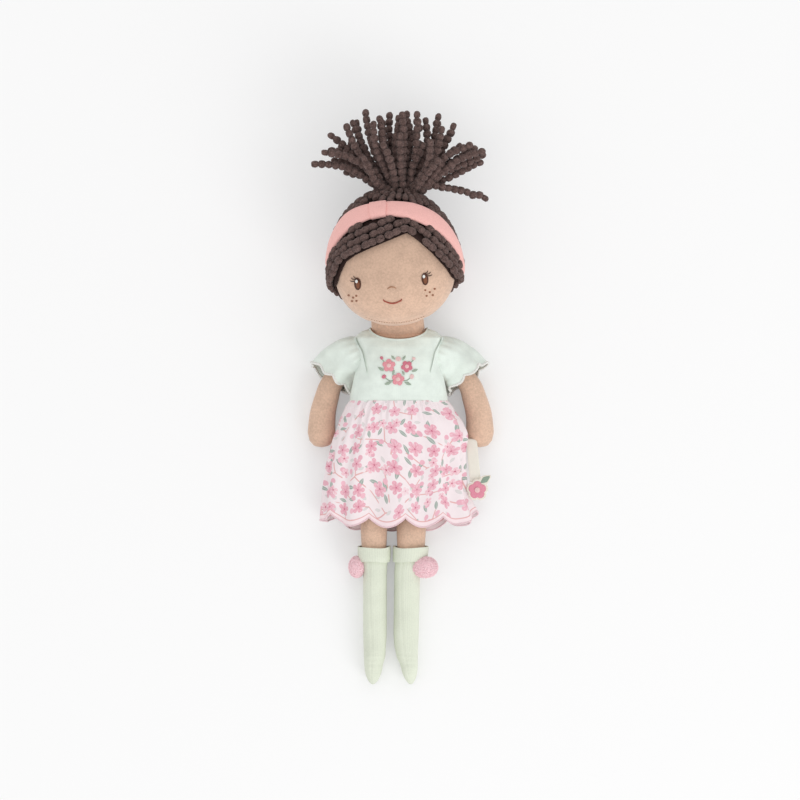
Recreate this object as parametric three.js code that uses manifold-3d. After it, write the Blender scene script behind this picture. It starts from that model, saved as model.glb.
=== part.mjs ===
// A soft rag doll with yarn hair, a dress and pull-on socks, lying on its back.
// Millimetres. +Z points out of the chest, +Y towards the head and +X to the doll's own left.
// Places are measured from the middle of the waist seam, on the surface the doll lies on.
// At the end the whole doll is shifted so that the origin is in the middle of the dress's back.
import * as THREE from 'three';
import { mergeVertices } from 'three/addons/utils/BufferGeometryUtils.js';
import Module from 'manifold-3d';

const wasm = await Module();
wasm.setup();

// Fit between pieces
const seamGap = 0.35;
const restFlat = 0.5;
const weldDistance = 0.0007;
const cutOverrun = 60;

// Cloth, felt and thread
const clothThickness = 0.8;
const skirtThickness = 0.7;
const skirtLift = 0.35;
const sockThickness = 1.15;
const feltThickness = 0.9;
const bindingRadius = 0.6;
const embroideryThickness = 0.7;

// Torso, from the waist seam
const bodyCentreX = -0.8;
const torsoWaistHalfWidth = 28.6;
const torsoDepth = 37.4;
const shoulderHeight = 44;
const hipDrop = 42;
const neckDip = 36.8;
const necklineHalfWidth = 17.5;
const restPointHeight = 18;

// Arms
const armLength = 68;
const armHalfWidth = 8.9;
const armThickness = 16;
const shoulderSpread = 23.5;
const shoulderJointY = 27.4;
const shoulderJointZ = 12.5;
const armholeRadius = 11.2;
const armSplayDegrees = 12.7;
const handSpread = 48;

// Legs and socks
const legHalfWidth = 8.1;
const legThickness = 16.2;
const hipJointY = -38;
const legSpread = 11.7;
const legCentreX = -4.1;
const toeDrop = 173.4;
const sockTopDrop = 88.5;
const cuffDepth = 10.5;
const cuffThickness = 1.1;
const pompomRadius = 6.9;

// Neck
const neckHalfWidth = 16.6;
const neckInset = 7.7;
const neckHalfDepth = torsoDepth / 2 - neckInset;
const neckJointY = 38;
const neckForward = 2.3;
const neckJointZ = torsoDepth / 2 + neckForward;
const plugInset = 1.5;
const neckPlugRadius = neckHalfDepth - plugInset;
const neckPlugTop = 58;
const neckTravelDegrees = 25;
const headTravelDegrees = 25;

// Head
const headCentreX = -3;
const headCentreY = 77.5;
const headHalfWidth = 36.6;
const headCrownReach = 47;
const headChinReach = 32.3;
const headHalfDepth = 31;
const headTiltDegrees = 4;

// Hair and headband
const capThickness = 1;
const yarnThickness = 4.6;
const yarnGroove = 1.6;
const yarnRowPitch = 4.3;
const yarnStrandRadius = 2.6;
const napeRise = 9;
const bandWidth = 9.2;
const bandThickness = 4.6;
const bandTiltDegrees = -7;
const bandLoopWidth = 10.5;
const bandLoopThickness = 1.4;
const pinchHeight = 53.5;
const pinchX = 7.6;
const stemRadius = 6.2;
const stemLength = 4.4;
const tieRadius = 1.7;
const strandLength = 51;
const strandCount = 28;

// Face
const eyeHalfWidth = 2;
const eyeHalfHeight = 3.7;
const eyeSpread = 20.4;
const eyeCentreX = -2.7;
const eyeDrop = 4.9;
const mouthHalfWidth = 5.4;
const mouthDrop = 16.6;
const mouthSag = 2.2;
const noseHalfWidth = 2.6;
const noseDrop = 9;
const noseRise = 1;
const threadRadius = 0.5;

// Skirt
const skirtLength = 75;
const skirtHemHalfWidth = 47.5;
const skirtHemHeight = 22;
const skirtFoldDepth = 1.9;
const skirtSidePull = 4.8;
const hemScallopDepth = 5;
const hemRollRadius = 0.55;

// Sleeves
const sleeveLength = 25;
const sleeveHemRadius = 15;
const sleeveFoldDepth = 1.7;
const sleeveScallopDepth = 2.6;

// Flower embroidery on the bodice
const posyCentreY = 17.5;
const posyWidth = 21;
const posyHeight = 19.5;

// Side label and charm
const labelX = 44.9;
const labelTopDrop = 28;
const labelLength = 23;
const labelWidth = 6.8;
const labelLiftZ = 13.6;
const charmRadius = 7.8;

// Counts and shapes without a size
const headColumnCount = 24;
const headRowCount = 14;
const ribCount = 24;
const torsoSideCount = 24;
const limbSideCount = 12;
const cutterSideCount = 16;
const fringeRowCount = 4;
const skirtFoldCount = 12;
const skirtScallopCount = 12;
const skirtSideCount = 48;
const sleeveSideCount = 24;
const sleeveFoldCount = 5;
const sleeveScallopCount = 8;
const petalCount = 5;
const strandSideCount = 5;
const threadStepCount = 9;
const fringeStepCount = 8;
const bindingStepCount = 40;
const sweepStepCount = 4;
const neckRingCount = 5;

// How square each rounded section is: 2 is an ellipse
const neckFullness = 2.2;
const bodyFullness = 2.6;
const armFullness = 2.1;
const legFullness = 2.3;
const skirtFullness = 2.4;

// Helpers for closed solids

/** The solid bounded by the faces; the faces are turned outwards if they point in. */
function solidFrom(points, faces) {
  const vertProperties = new Float32Array(points.flatMap((p) => [p.x, p.y, p.z]));
  const volume = faces.reduce((sum, [a, b, c]) => {
    const cross = new THREE.Vector3().crossVectors(points[b], points[c]);
    return sum + points[a].dot(cross);
  }, 0);
  const turned = volume < 0 ? faces.map(([a, b, c]) => [a, c, b]) : faces;
  const triVerts = new Uint32Array(turned.flat());
  return new wasm.Manifold(new wasm.Mesh({ numProp: 3, vertProperties, triVerts }));
}

/** The solid of a closed three.js geometry. */
function solidOf(geometry) {
  geometry.deleteAttribute('normal');
  geometry.deleteAttribute('uv');
  const merged = mergeVertices(geometry, weldDistance);
  const place = merged.attributes.position;
  const pointAt = (_, i) => new THREE.Vector3().fromBufferAttribute(place, i);
  const points = Array.from({ length: place.count }, pointAt);
  const faces = [];
  for (let i = 0; i < merged.index.count; i += 3) {
    const face = [0, 1, 2].map((k) => merged.index.getX(i + k));
    if (new Set(face).size === 3) faces.push(face);
  }
  return solidFrom(points, faces);
}

/** Quads between neighbouring rings of the same count, as triangles. */
function bandFaces(ringCount, sides, start = 0) {
  const faces = [];
  for (let ring = 0; ring < ringCount - 1; ring += 1) {
    for (let side = 0; side < sides; side += 1) {
      const a = start + ring * sides + side;
      const b = start + ring * sides + ((side + 1) % sides);
      faces.push([a, b, b + sides], [a, b + sides, a + sides]);
    }
  }
  return faces;
}

/** A closed solid through rings of points, with a fan over each end. */
function loft(rings) {
  const sides = rings[0].length;
  const points = rings.flat();
  const faces = bandFaces(rings.length, sides);
  for (const [ring, turn] of [[0, true], [rings.length - 1, false]]) {
    const middle = points.length;
    const centre = new THREE.Vector3();
    rings[ring].forEach((point) => centre.addScaledVector(point, 1 / sides));
    points.push(centre);
    for (let side = 0; side < sides; side += 1) {
      const a = ring * sides + side;
      const b = ring * sides + ((side + 1) % sides);
      faces.push(turn ? [b, a, middle] : [a, b, middle]);
    }
  }
  return solidFrom(points, faces);
}

/** An open tube of cloth between outer rings and the matching inner rings. */
function clothTube(outer, inner) {
  const sides = outer[0].length;
  const loop = [...outer, ...[...inner].reverse()];
  const faces = bandFaces(loop.length, sides);
  const last = (loop.length - 1) * sides;
  for (let side = 0; side < sides; side += 1) {
    const next = (side + 1) % sides;
    faces.push([last + side, last + next, next], [last + side, next, side]);
  }
  return solidFrom(loop.flat(), faces);
}

/** A ring of points: a rounded section across and upward of its centre. */
function section(centre, across, upward, halfWidth, halfDepth, fullness, sides) {
  return Array.from({ length: sides }, (_, side) => {
    const angle = (side * 2 * Math.PI) / sides;
    const c = Math.cos(angle);
    const s = Math.sin(angle);
    const u = Math.sign(c) * Math.abs(c) ** (2 / fullness) * halfWidth;
    const v = Math.sign(s) * Math.abs(s) ** (2 / fullness) * halfDepth;
    return centre.clone().addScaledVector(across, u).addScaledVector(upward, v);
  });
}

/** Keeps every point of the rings at or above a height. */
function raised(rings, height) {
  rings.flat().forEach((point) => {
    point.z = Math.max(point.z, height);
  });
  return rings;
}

/** A table of shares read at a place between its rows. */
function between(shares, at) {
  const next = shares.findIndex((row) => row[0] >= at);
  if (next <= 0) return shares[next === 0 ? 0 : shares.length - 1];
  const [low, high] = [shares[next - 1], shares[next]];
  const mix = (at - low[0]) / (high[0] - low[0]);
  return low.map((value, i) => THREE.MathUtils.lerp(value, high[i], mix));
}

/** A tube along points, with flat ends. */
function tube(points, radii, sides) {
  const curve = new THREE.CatmullRomCurve3(points);
  const steps = radii.length - 1;
  const frames = curve.computeFrenetFrames(steps);
  const rings = radii.map((radius, i) =>
    section(curve.getPointAt(i / steps), frames.normals[i], frames.binormals[i], radius, radius, 2, sides));
  return loft(rings);
}

/** A closed loop of thread through points. */
function closedTube(points, radius, sides) {
  const rings = points.map((point, i) => {
    const before = points.at(i - 1);
    const after = points[(i + 1) % points.length];
    const along = after.clone().sub(before).normalize();
    const across = new THREE.Vector3(-along.y, along.x, 0).normalize();
    const upward = new THREE.Vector3().crossVectors(along, across);
    return section(point, across, upward, radius, radius, 2, sides);
  });
  const flat = rings.flat();
  const faces = bandFaces(rings.length, sides);
  const last = (rings.length - 1) * sides;
  for (let side = 0; side < sides; side += 1) {
    const next = (side + 1) % sides;
    faces.push([last + side, last + next, next], [last + side, next, side]);
  }
  return solidFrom(flat, faces);
}

/** An outline in X and Y pushed along Z between two heights. */
function prism(outline, low, high) {
  const shape = new THREE.Shape(outline);
  const geometry = new THREE.ExtrudeGeometry(shape, { depth: high - low, bevelEnabled: false });
  return solidOf(geometry).translate([0, 0, low]);
}

/** A profile of radius and height turned about the Y axis. */
function turned(profile, sides) {
  return solidOf(new THREE.LatheGeometry(profile, sides));
}

/** Only the largest body of a solid. */
function largest(solid) {
  return solid.decompose().sort((a, b) => b.volume() - a.volume())[0];
}

const join = (solids) => solids.reduce((all, solid) => all.add(solid));
const point2 = (x, y) => new THREE.Vector2(x, y);
const point3 = (x, y, z) => new THREE.Vector3(x, y, z);
const axisX = point3(1, 0, 0);
const axisY = point3(0, 1, 0);
const axisZ = point3(0, 0, 1);

/** The solid turned about an axis through a point. */
function turnedAbout(solid, axis, through, degrees) {
  const turn = new THREE.Matrix4().makeRotationAxis(axis, THREE.MathUtils.degToRad(degrees));
  const there = new THREE.Matrix4().makeTranslation(through);
  const back = new THREE.Matrix4().makeTranslation(through.clone().negate());
  return solid.transform(there.multiply(turn).multiply(back).toArray());
}

/** Everything that a solid passes through between two angles. */
function swept(solid, axis, through, from, to, steps) {
  const places = Array.from({ length: steps + 1 }, (_, i) => from + ((to - from) * i) / steps);
  return join(places.map((degrees) => turnedAbout(solid, axis, through, degrees)));
}

const doll = new THREE.Group();

/** Adds a piece in its finish. */
function addPiece(name, solid, finish) {
  const { vertProperties, triVerts, numProp } = solid.getMesh();
  const place = new Float32Array((vertProperties.length / numProp) * 3);
  for (let i = 0; i < place.length / 3; i += 1) {
    for (let k = 0; k < 3; k += 1) place[i * 3 + k] = vertProperties[i * numProp + k];
  }
  const geometry = new THREE.BufferGeometry();
  geometry.setAttribute('position', new THREE.BufferAttribute(place, 3));
  geometry.setIndex(Array.from(triVerts));
  geometry.computeVertexNormals();
  const [color, roughness] = finish;
  const mesh = new THREE.Mesh(geometry, new THREE.MeshStandardMaterial({ color, roughness, metalness: 0 }));
  mesh.name = name;
  doll.add(mesh);
}

// Finishes: colour and roughness
const plush = ['#cdac91', 0.95];
const hairCloth = ['#3a2f2d', 0.95];
const yarn = ['#54453f', 0.95];
const bandCloth = ['#f5b2ac', 0.9];
const jersey = ['#dce8de', 0.9];
const printedCotton = ['#f6e8e8', 0.9];
const whiteThread = ['#f6f8f2', 0.85];
const roseThread = ['#d98a9c', 0.85];
const brownThread = ['#5e3a28', 0.7];
const lipThread = ['#a85a48', 0.8];
const noseThread = ['#b98f72', 0.9];
const sockKnit = ['#d6dec8', 0.95];
const pompomYarn = ['#fab9c3', 0.98];
const labelTape = ['#f0ece1', 0.9];
const charmFelt = ['#dc95a6', 0.92];

// The head, in its own frame: the middle of the head is the origin and +Y its crown.

const headHeight = headHalfDepth + 2 * seamGap + capThickness + yarnThickness - restFlat;
const headPlace = new THREE.Matrix4()
  .makeTranslation(headCentreX, headCentreY, headHeight)
  .multiply(new THREE.Matrix4().makeRotationZ(THREE.MathUtils.degToRad(headTiltDegrees)));
const placed = (solid) => solid.transform(headPlace.toArray());
const aboveSurface = (solid) => solid.intersect(prism(square(8 * cutOverrun), 0, 4 * cutOverrun));

/** A square outline about the origin. */
function square(side) {
  const half = side / 2;
  return [point2(-half, -half), point2(half, -half), point2(half, half), point2(-half, half)];
}

/** The point of the head's skin, or so far outside it, in a direction from its middle. */
function headPoint(direction, offset) {
  const reach = direction.y > 0 ? headCrownReach : headChinReach;
  const size = point3(headHalfWidth + offset, reach + offset, headHalfDepth + offset);
  const unit = direction.clone().normalize();
  return unit.multiplyScalar(1 / unit.clone().divide(size).length());
}

/** The point of the face above a place seen from the front. */
function facePoint(x, y, offset) {
  const reach = (y > 0 ? headCrownReach : headChinReach) + offset;
  const rest = 1 - (x / (headHalfWidth + offset)) ** 2 - (y / reach) ** 2;
  return point3(x, y, (headHalfDepth + offset) * Math.sqrt(Math.max(rest, 0)));
}

/** The head's round form, offset outwards, with an optional further offset by angle about the crown. */
function headForm(offset, columns = headColumnCount, ribs = () => 0) {
  const grid = new THREE.SphereGeometry(1, columns, headRowCount);
  const place = grid.attributes.position;
  for (let i = 0; i < place.count; i += 1) {
    const unit = new THREE.Vector3().fromBufferAttribute(place, i);
    const angle = Math.atan2(unit.z, unit.x);
    const spread = Math.hypot(unit.x, unit.z);
    const moved = headPoint(unit, offset + ribs(angle, spread));
    place.setXYZ(i, moved.x, moved.y, moved.z);
  }
  return solidOf(grid);
}

const capStart = seamGap;
const capEnd = capStart + capThickness;
const yarnStart = capEnd + seamGap;
const yarnEnd = yarnStart + yarnThickness;

// The hairline seen from the front, as shares of the head's half width and crown height.
const hairlineLeftShares = [[-1.06, -0.17], [-0.99, -0.1], [-0.93, 0.02], [-0.82, 0.17], [-0.65, 0.25],
  [-0.4, 0.32], [-0.13, 0.39], [0.25, 0.49]];
const hairlineRightShares = [[0.25, 0.49], [0.42, 0.38], [0.64, 0.21], [0.87, -0.01], [0.95, -0.12],
  [1.06, -0.19]];
const hairlinePoints = (shares) => shares.map(([x, y]) => point2(x * headHalfWidth, y * headCrownReach));

/** The window in the hair that shows the face, seen from the front. */
function faceWindow() {
  const line = [...hairlinePoints(hairlineLeftShares), ...hairlinePoints(hairlineRightShares.slice(1))];
  const wide = 2 * headHalfWidth;
  const low = -2 * headChinReach;
  const outline = [point2(-wide, low), point2(-wide, line[0].y), ...line, point2(wide, line.at(-1).y),
    point2(wide, low)];
  return prism(outline, 0, cutOverrun);
}

/** Everything under the nape, behind the middle of the head. */
function underNape() {
  const side = headCrownReach * 0.17;
  const nape = headChinReach - napeRise;
  const outline = [point2(0, -side), point2(headHalfDepth, -nape), point2(cutOverrun, -nape),
    point2(cutOverrun, -2 * cutOverrun), point2(0, -2 * cutOverrun)];
  return turnedAbout(prism(outline, -cutOverrun, cutOverrun), axisY, point3(0, 0, 0), 90);
}

/** The strip that the headband lies in, widened on each side. */
function bandStrip(widen, upTo = 0) {
  const half = bandWidth / 2 + widen;
  const top = upTo || half;
  const crown = 0.66 * headCrownReach;
  const side = 0.17 * headCrownReach;
  const nape = -0.1 * headCrownReach;
  const line = [[-headHalfDepth * 1.6, nape], [0, side], [headHalfDepth * 0.62, crown + bandWidth / 4],
    [headHalfDepth * 1.6, crown + headHalfDepth * 1.4]];
  const lower = line.map(([z, y]) => point2(-z, y - half * Math.hypot(1, z > 0 ? 1.3 : 0.4)));
  const upper = line.map(([z, y]) => point2(-z, y + top * Math.hypot(1, z > 0 ? 1.3 : 0.4))).reverse();
  const strip = turnedAbout(prism([...lower, ...upper], -cutOverrun, cutOverrun), axisY, point3(0, 0, 0), 90);
  return turnedAbout(strip, axisZ, point3(0, 0, 0), bandTiltDegrees);
}

const skinHead = headForm(0);
const capInner = headForm(capStart);
const capOuter = headForm(capEnd);
const yarnInner = headForm(yarnStart);
const faceCut = faceWindow();
const napeCut = underNape();
const hairCap = largest(capOuter.subtract(capInner).subtract(faceCut).subtract(napeCut));

/** The ribbed yarn over the whole head, its rows running up to the crown. */
function ribbedYarn() {
  const ribs = (angle, spread) => {
    const groove = 0.5 + 0.5 * Math.cos(angle * ribCount);
    return -yarnGroove * groove * Math.min(1, spread * 2);
  };
  return headForm(yarnEnd, ribCount * 2, ribs).subtract(yarnInner);
}

const stemFoot = point3(pinchX, pinchHeight - yarnThickness, 0);
const stemDirection = stemFoot.clone().normalize();

/** A round post on the crown, along the ponytail. */
function crownPost(radius, from, to) {
  const profile = [point2(0, from), point2(radius, from), point2(radius, to), point2(0, to)];
  const lean = new THREE.Matrix4().makeRotationFromQuaternion(
    new THREE.Quaternion().setFromUnitVectors(axisY, stemDirection));
  return turned(profile, limbSideCount).transform(lean.toArray());
}

const stemStart = headPoint(stemDirection, yarnStart).length();
const stemEnd = headPoint(stemDirection, yarnEnd).length() + stemLength;
const stemHole = crownPost(stemRadius + seamGap, 0, 2 * headCrownReach);
const hairShell = ribbedYarn().subtract(napeCut).subtract(stemHole);
const crownZone = bandStrip(-bandWidth - seamGap, 3 * headCrownReach);
const crownYarn = largest(hairShell.intersect(crownZone));
const frontHalf = prism(square(4 * headCrownReach), -seamGap, 2 * cutOverrun);
const aboveBand = bandStrip(seamGap, 3 * headCrownReach);
const napeYarn = largest(hairShell.subtract(aboveBand).subtract(frontHalf));

/** One side of the fringe: rows of yarn that follow the hairline and end under the headband. */
function fringe(shares, side) {
  const pole = point3(0, -headChinReach / 2, headHalfDepth).normalize();
  const rows = Array.from({ length: fringeRowCount }, (_, row) => {
    const turn = ((row + 0.5) * yarnRowPitch) / headHalfWidth;
    const points = shares.map(([x, y]) => {
      const start = facePoint(x * 0.96 * headHalfWidth, y * headCrownReach, yarnStart).normalize();
      const about = pole.clone().cross(start).normalize();
      return headPoint(start.applyAxisAngle(about, turn), yarnStart + yarnStrandRadius * 0.6);
    });
    return tube(points, Array(fringeStepCount).fill(yarnStrandRadius), strandSideCount);
  });
  const parting = 0.25 * headHalfWidth;
  const wide = 2 * headHalfWidth;
  const edge = parting + side * (seamGap / 2);
  const far = side * wide;
  const outline = [point2(edge, -wide), point2(far, -wide), point2(far, wide), point2(edge, wide)];
  const zone = prism(outline, 0, cutOverrun);
  return largest(join(rows).subtract(yarnInner).intersect(zone).subtract(aboveBand));
}

const bandOuter = headForm(yarnStart + bandThickness);
const band = bandOuter.subtract(yarnInner).intersect(bandStrip(0));

/** The loop that is wrapped round the padded headband over the brow. */
function headbandLoop() {
  const half = bandLoopWidth / 2;
  const middle = -0.18 * headHalfWidth;
  const outline = [point2(middle - half, 0), point2(middle + half, 0),
    point2(middle + half, cutOverrun), point2(middle - half, cutOverrun)];
  const zone = prism(outline, 0, cutOverrun);
  const outer = headForm(yarnStart + bandThickness + seamGap + bandLoopThickness);
  const inner = headForm(yarnStart + bandThickness + seamGap);
  return outer.subtract(inner).intersect(zone).intersect(bandStrip(0));
}

const strandStopShares = [0, 0.3, 0.65, 1];
const strandRadiusShares = [0.8, 1.05, 1.05, 1.05, 0.85];

/** The ponytail: a bound stem and strands of yarn that fan out from it. */
function ponytail() {
  const stem = crownPost(stemRadius, stemStart, stemEnd);
  const base = stemDirection.clone().multiplyScalar(stemEnd);
  const strands = Array.from({ length: strandCount }, (_, i) => {
    const share = i / (strandCount - 1);
    const layer = (i % 3) - 1;
    const fan = THREE.MathUtils.degToRad(78 - 162 * share);
    const lift = THREE.MathUtils.degToRad(24 * layer + 4 * Math.sin(i * 2.4));
    const reach = strandLength * (0.86 + 0.14 * Math.cos(i * 1.7)) * (1 - 0.1 * Math.abs(share - 0.5));
    const heading = point3(Math.sin(-fan) * Math.cos(lift), Math.cos(fan) * Math.cos(lift), Math.sin(lift));
    const bend = point3(-heading.y, heading.x, 0).multiplyScalar(strandLength * 0.06 * Math.sin(i * 2.1));
    const droop = point3(0, 0, -strandLength * 0.16);
    const path = strandStopShares.map((at) => {
      return base.clone().addScaledVector(heading, at * reach).addScaledVector(bend, Math.sin(at * Math.PI))
        .addScaledVector(droop, at * at);
    });
    return tube(path, strandRadiusShares.map((part) => part * yarnStrandRadius), strandSideCount);
  });
  return join(strands).subtract(tieRing(seamGap)).add(stem);
}

/** The wrap of yarn that binds the ponytail, widened by a gap. */
function tieRing(gap) {
  const middle = stemEnd - stemLength + tieRadius + seamGap;
  const round = new THREE.TorusGeometry(stemRadius + seamGap + tieRadius, tieRadius + gap, 6, limbSideCount);
  round.rotateX(Math.PI / 2);
  const lean = new THREE.Quaternion().setFromUnitVectors(axisY, stemDirection);
  const centre = stemDirection.clone().multiplyScalar(middle);
  const place = new THREE.Matrix4().compose(centre, lean, point3(1, 1, 1));
  return solidOf(round).transform(place.toArray());
}

/** Embroidery on the face: the part of a thin layer on the skin inside an outline. */
function faceStitch(outline) {
  const layer = headForm(seamGap + embroideryThickness).subtract(headForm(seamGap));
  return layer.intersect(prism(outline, 0, cutOverrun));
}

/** An oval outline. */
function oval(x, y, halfWidth, halfHeight, sides) {
  return Array.from({ length: sides }, (_, i) => {
    const angle = (i * 2 * Math.PI) / sides;
    return point2(x + halfWidth * Math.cos(angle), y + halfHeight * Math.sin(angle));
  });
}

/** A stitched line on the face through places seen from the front. */
function faceThread(places) {
  const lift = seamGap + threadRadius;
  const points = places.map(([x, y]) => facePoint(x, y, lift));
  return tube(points, Array(threadStepCount).fill(threadRadius), strandSideCount + 1);
}

const eyeOutline = (side) => oval(eyeCentreX + side * eyeSpread, -eyeDrop, eyeHalfWidth, eyeHalfHeight,
  limbSideCount);
const mouthShares = [-1, -0.5, 0, 0.5, 1];
const mouthLine = faceThread(mouthShares.map((at) =>
  [eyeCentreX + at * mouthHalfWidth, -mouthDrop - mouthSag * (1 - at * at)]));
const noseShares = [-1, -0.4, 0.4, 1];
const noseLine = faceThread(noseShares.map((at) =>
  [eyeCentreX + at * noseHalfWidth, -noseDrop + noseRise * (1 - at * at)]));

// Neck: a rounded base that nods in the torso, and a plug on which the head turns.

const nodPlace = point3(bodyCentreX, neckJointY, neckJointZ);
const turnAxis = axisY.clone().applyAxisAngle(axisZ, THREE.MathUtils.degToRad(headTiltDegrees));

/** The neck, from its rounded base to a height, offset outwards. */
function neckForm(offset, top) {
  const halfWidth = neckHalfWidth + offset;
  const halfDepth = neckHalfDepth + offset;
  const ringAt = (centre, widthShare, depthShare) => section(centre, axisX, axisZ, halfWidth * widthShare,
    halfDepth * depthShare, neckFullness, torsoSideCount);
  const rings = Array.from({ length: neckRingCount }, (_, i) => {
    const angle = ((i + 1) * Math.PI) / (2 * neckRingCount);
    const centre = nodPlace.clone().addScaledVector(axisY, -halfDepth * Math.cos(angle));
    return ringAt(centre, Math.sin(angle) ** 0.8, Math.sin(angle));
  });
  const along = turnAxis.clone().multiplyScalar(top - neckJointY);
  rings.push(ringAt(nodPlace.clone().add(along), 1, 1));
  return loft(rings);
}

/** The plug inside the head, about the line on which the head turns. */
function neckPlug(offset) {
  const profile = [point2(0, 0), point2(neckPlugRadius + offset, 0),
    point2(neckPlugRadius + offset, neckPlugTop - neckJointY - neckPlugRadius / 3 + offset),
    point2(neckPlugRadius * 0.7 + offset, neckPlugTop - neckJointY + offset),
    point2(0, neckPlugTop - neckJointY + offset)];
  return turnedAbout(turned(profile, torsoSideCount), axisZ, point3(0, 0, 0), headTiltDegrees)
    .translate([nodPlace.x, nodPlace.y, nodPlace.z]);
}

const hairRoom = headForm(yarnEnd).subtract(faceCut).subtract(napeCut.translate([0, -2 * seamGap, 0]));
const headSweep = swept(placed(headForm(seamGap).add(hairRoom)), turnAxis, nodPlace,
  -headTravelDegrees, headTravelDegrees, sweepStepCount);
const neck = neckForm(0, neckPlugTop).subtract(headSweep).add(neckPlug(0));
const plugBore = neckPlug(seamGap);

/** The room that the neck needs to nod: round under its joint and opening forwards above it. */
function neckRoom() {
  const radius = neckHalfDepth + seamGap;
  const travel = THREE.MathUtils.degToRad(neckTravelDegrees);
  const arc = Array.from({ length: cutterSideCount + 1 }, (_, i) => {
    const angle = -travel - ((Math.PI - travel) * i) / cutterSideCount;
    return point2(radius * Math.cos(angle), radius * Math.sin(angle));
  });
  const outline = [...arc, point2(-radius, neckPlugTop), point2(radius, neckPlugTop),
    point2(radius * Math.cos(travel) + neckPlugTop * Math.sin(travel), neckPlugTop * Math.cos(travel))];
  const width = neckHalfWidth + seamGap;
  const room = turnedAbout(prism(outline, -width, width), axisY, point3(0, 0, 0), -90);
  return room.translate([nodPlace.x, nodPlace.y, nodPlace.z]);
}

const neckSweep = neckRoom();

// Torso and bodice

// Height share (shoulder above the waist, hip below), half width, back rise, and front share of the depth.
const torsoUpperShares = [[0, 1, 0, 1], [0.27, 0.98, 0, 1.02], [0.5, 0.95, 0, 1.01], [0.72, 0.95, 0.01, 0.96],
  [0.86, 0.93, 0.05, 0.9], [0.95, 0.78, 0.13, 0.8], [1, 0.55, 0.25, 0.66]];
const torsoLowerShares = [[0, 1, 0, 1], [0.2, 0.99, 0.015, 0.94], [0.5, 1, 0.015, 0.8],
  [0.78, 0.93, 0.03, 0.58], [0.94, 0.84, 0.07, 0.42], [1, 0.7, 0.12, 0.34]];

/** The torso's form, offset outwards; its back is cut flat. */
function torsoForm(offset) {
  const low = clothThickness + seamGap - offset;
  const bottom = clothThickness + seamGap - restFlat;
  const rows = [
    ...torsoLowerShares.slice(1).reverse().map((row) => [-row[0] * hipDrop, ...row.slice(1)]),
    ...torsoUpperShares.map((row) => [row[0] * shoulderHeight, ...row.slice(1)]),
  ];
  const rings = rows.map(([y, width, back, front]) => {
    const rearZ = bottom + back * torsoDepth - offset;
    const frontZ = bottom + front * torsoDepth + offset;
    const centre = point3(bodyCentreX, y, (rearZ + frontZ) / 2);
    const halfWidth = width * torsoWaistHalfWidth + offset;
    return section(centre, axisX, axisZ, halfWidth, (frontZ - rearZ) / 2, bodyFullness, torsoSideCount);
  });
  rings[0].forEach((point) => { point.y -= offset; });
  rings.at(-1).forEach((point) => { point.y += offset; });
  return loft(raised(rings, low));
}

/** Side -1 is the doll's right, +1 its left. */
const shoulderPlace = (side) => point3(bodyCentreX + side * shoulderSpread, shoulderJointY, shoulderJointZ);
const shoulderAxis = (side) => {
  const splay = THREE.MathUtils.degToRad(armSplayDegrees);
  return point3(side * Math.cos(splay), -Math.sin(splay), 0);
};

/** The room that an arm and its sleeve need to swing: a flaring cone about the shoulder's axis. */
function shoulderRoom(side, gap) {
  const reach = armholeRadius * 2.5;
  const radius = armholeRadius + gap;
  const profile = [point2(0, -gap), point2(radius, -gap), point2(radius + reach, reach), point2(0, reach)];
  const lean = new THREE.Quaternion().setFromUnitVectors(axisY, shoulderAxis(side));
  const place = new THREE.Matrix4().compose(shoulderPlace(side), lean, point3(1, 1, 1));
  return turned(profile, cutterSideCount).transform(place.toArray());
}

const hipJointZ = clothThickness + seamGap + legThickness / 2;
const hipPlace = (side) => point3(legCentreX + side * legSpread, hipJointY, hipJointZ);

/** The room for a leg's rounded top to swing in. */
function hipRoom(side) {
  const radius = legThickness / 2 + seamGap;
  const width = 2 * (legHalfWidth + seamGap) + seamGap;
  const drum = new THREE.CylinderGeometry(radius, radius, width, cutterSideCount);
  drum.rotateZ(Math.PI / 2);
  const { x, y, z } = hipPlace(side);
  const drumSolid = solidOf(drum).translate([x, y, z]);
  const slot = new THREE.BoxGeometry(width, 2 * radius + hipDrop, 2 * radius + hipDrop);
  const slotSolid = solidOf(slot).translate([x, y - radius - hipDrop / 2, z]);
  const front = new THREE.BoxGeometry(width, 2 * radius, torsoDepth);
  return join([drumSolid, slotSolid, solidOf(front).translate([x, y - seamGap, z + torsoDepth / 2])]);
}

const shoulderRooms = join([-1, 1].map((side) => shoulderRoom(side, 0)));
const armholes = join([-1, 1].map((side) => shoulderRoom(side, seamGap)));
const hipRooms = join([-1, 1].map(hipRoom));
const torso = torsoForm(0).subtract(shoulderRooms).subtract(hipRooms).subtract(neckSweep);

/** The scoop of the neckline, seen from the front and from the back. */
function necklineCut() {
  const top = shoulderHeight + seamGap;
  const dip = shoulderHeight - neckDip;
  const front = oval(bodyCentreX, top, necklineHalfWidth, dip, torsoSideCount);
  const back = oval(bodyCentreX, top, necklineHalfWidth, dip / 2, torsoSideCount);
  return prism(front, torsoDepth / 2, cutOverrun).add(prism(back, -cutOverrun, cutOverrun));
}

/** A box that keeps one side of a height along Y. */
function beyond(y, towards) {
  const side = 2 * cutOverrun;
  const far = y + towards * 4 * cutOverrun;
  const outline = [point2(-side, y), point2(side, y), point2(side, far), point2(-side, far)];
  return prism(outline, -cutOverrun, 2 * cutOverrun);
}

const bodice = largest(torsoForm(seamGap + clothThickness).subtract(torsoForm(seamGap)).subtract(armholes)
  .subtract(necklineCut()).subtract(neckSweep).intersect(beyond(seamGap / 2, 1)));

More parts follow.
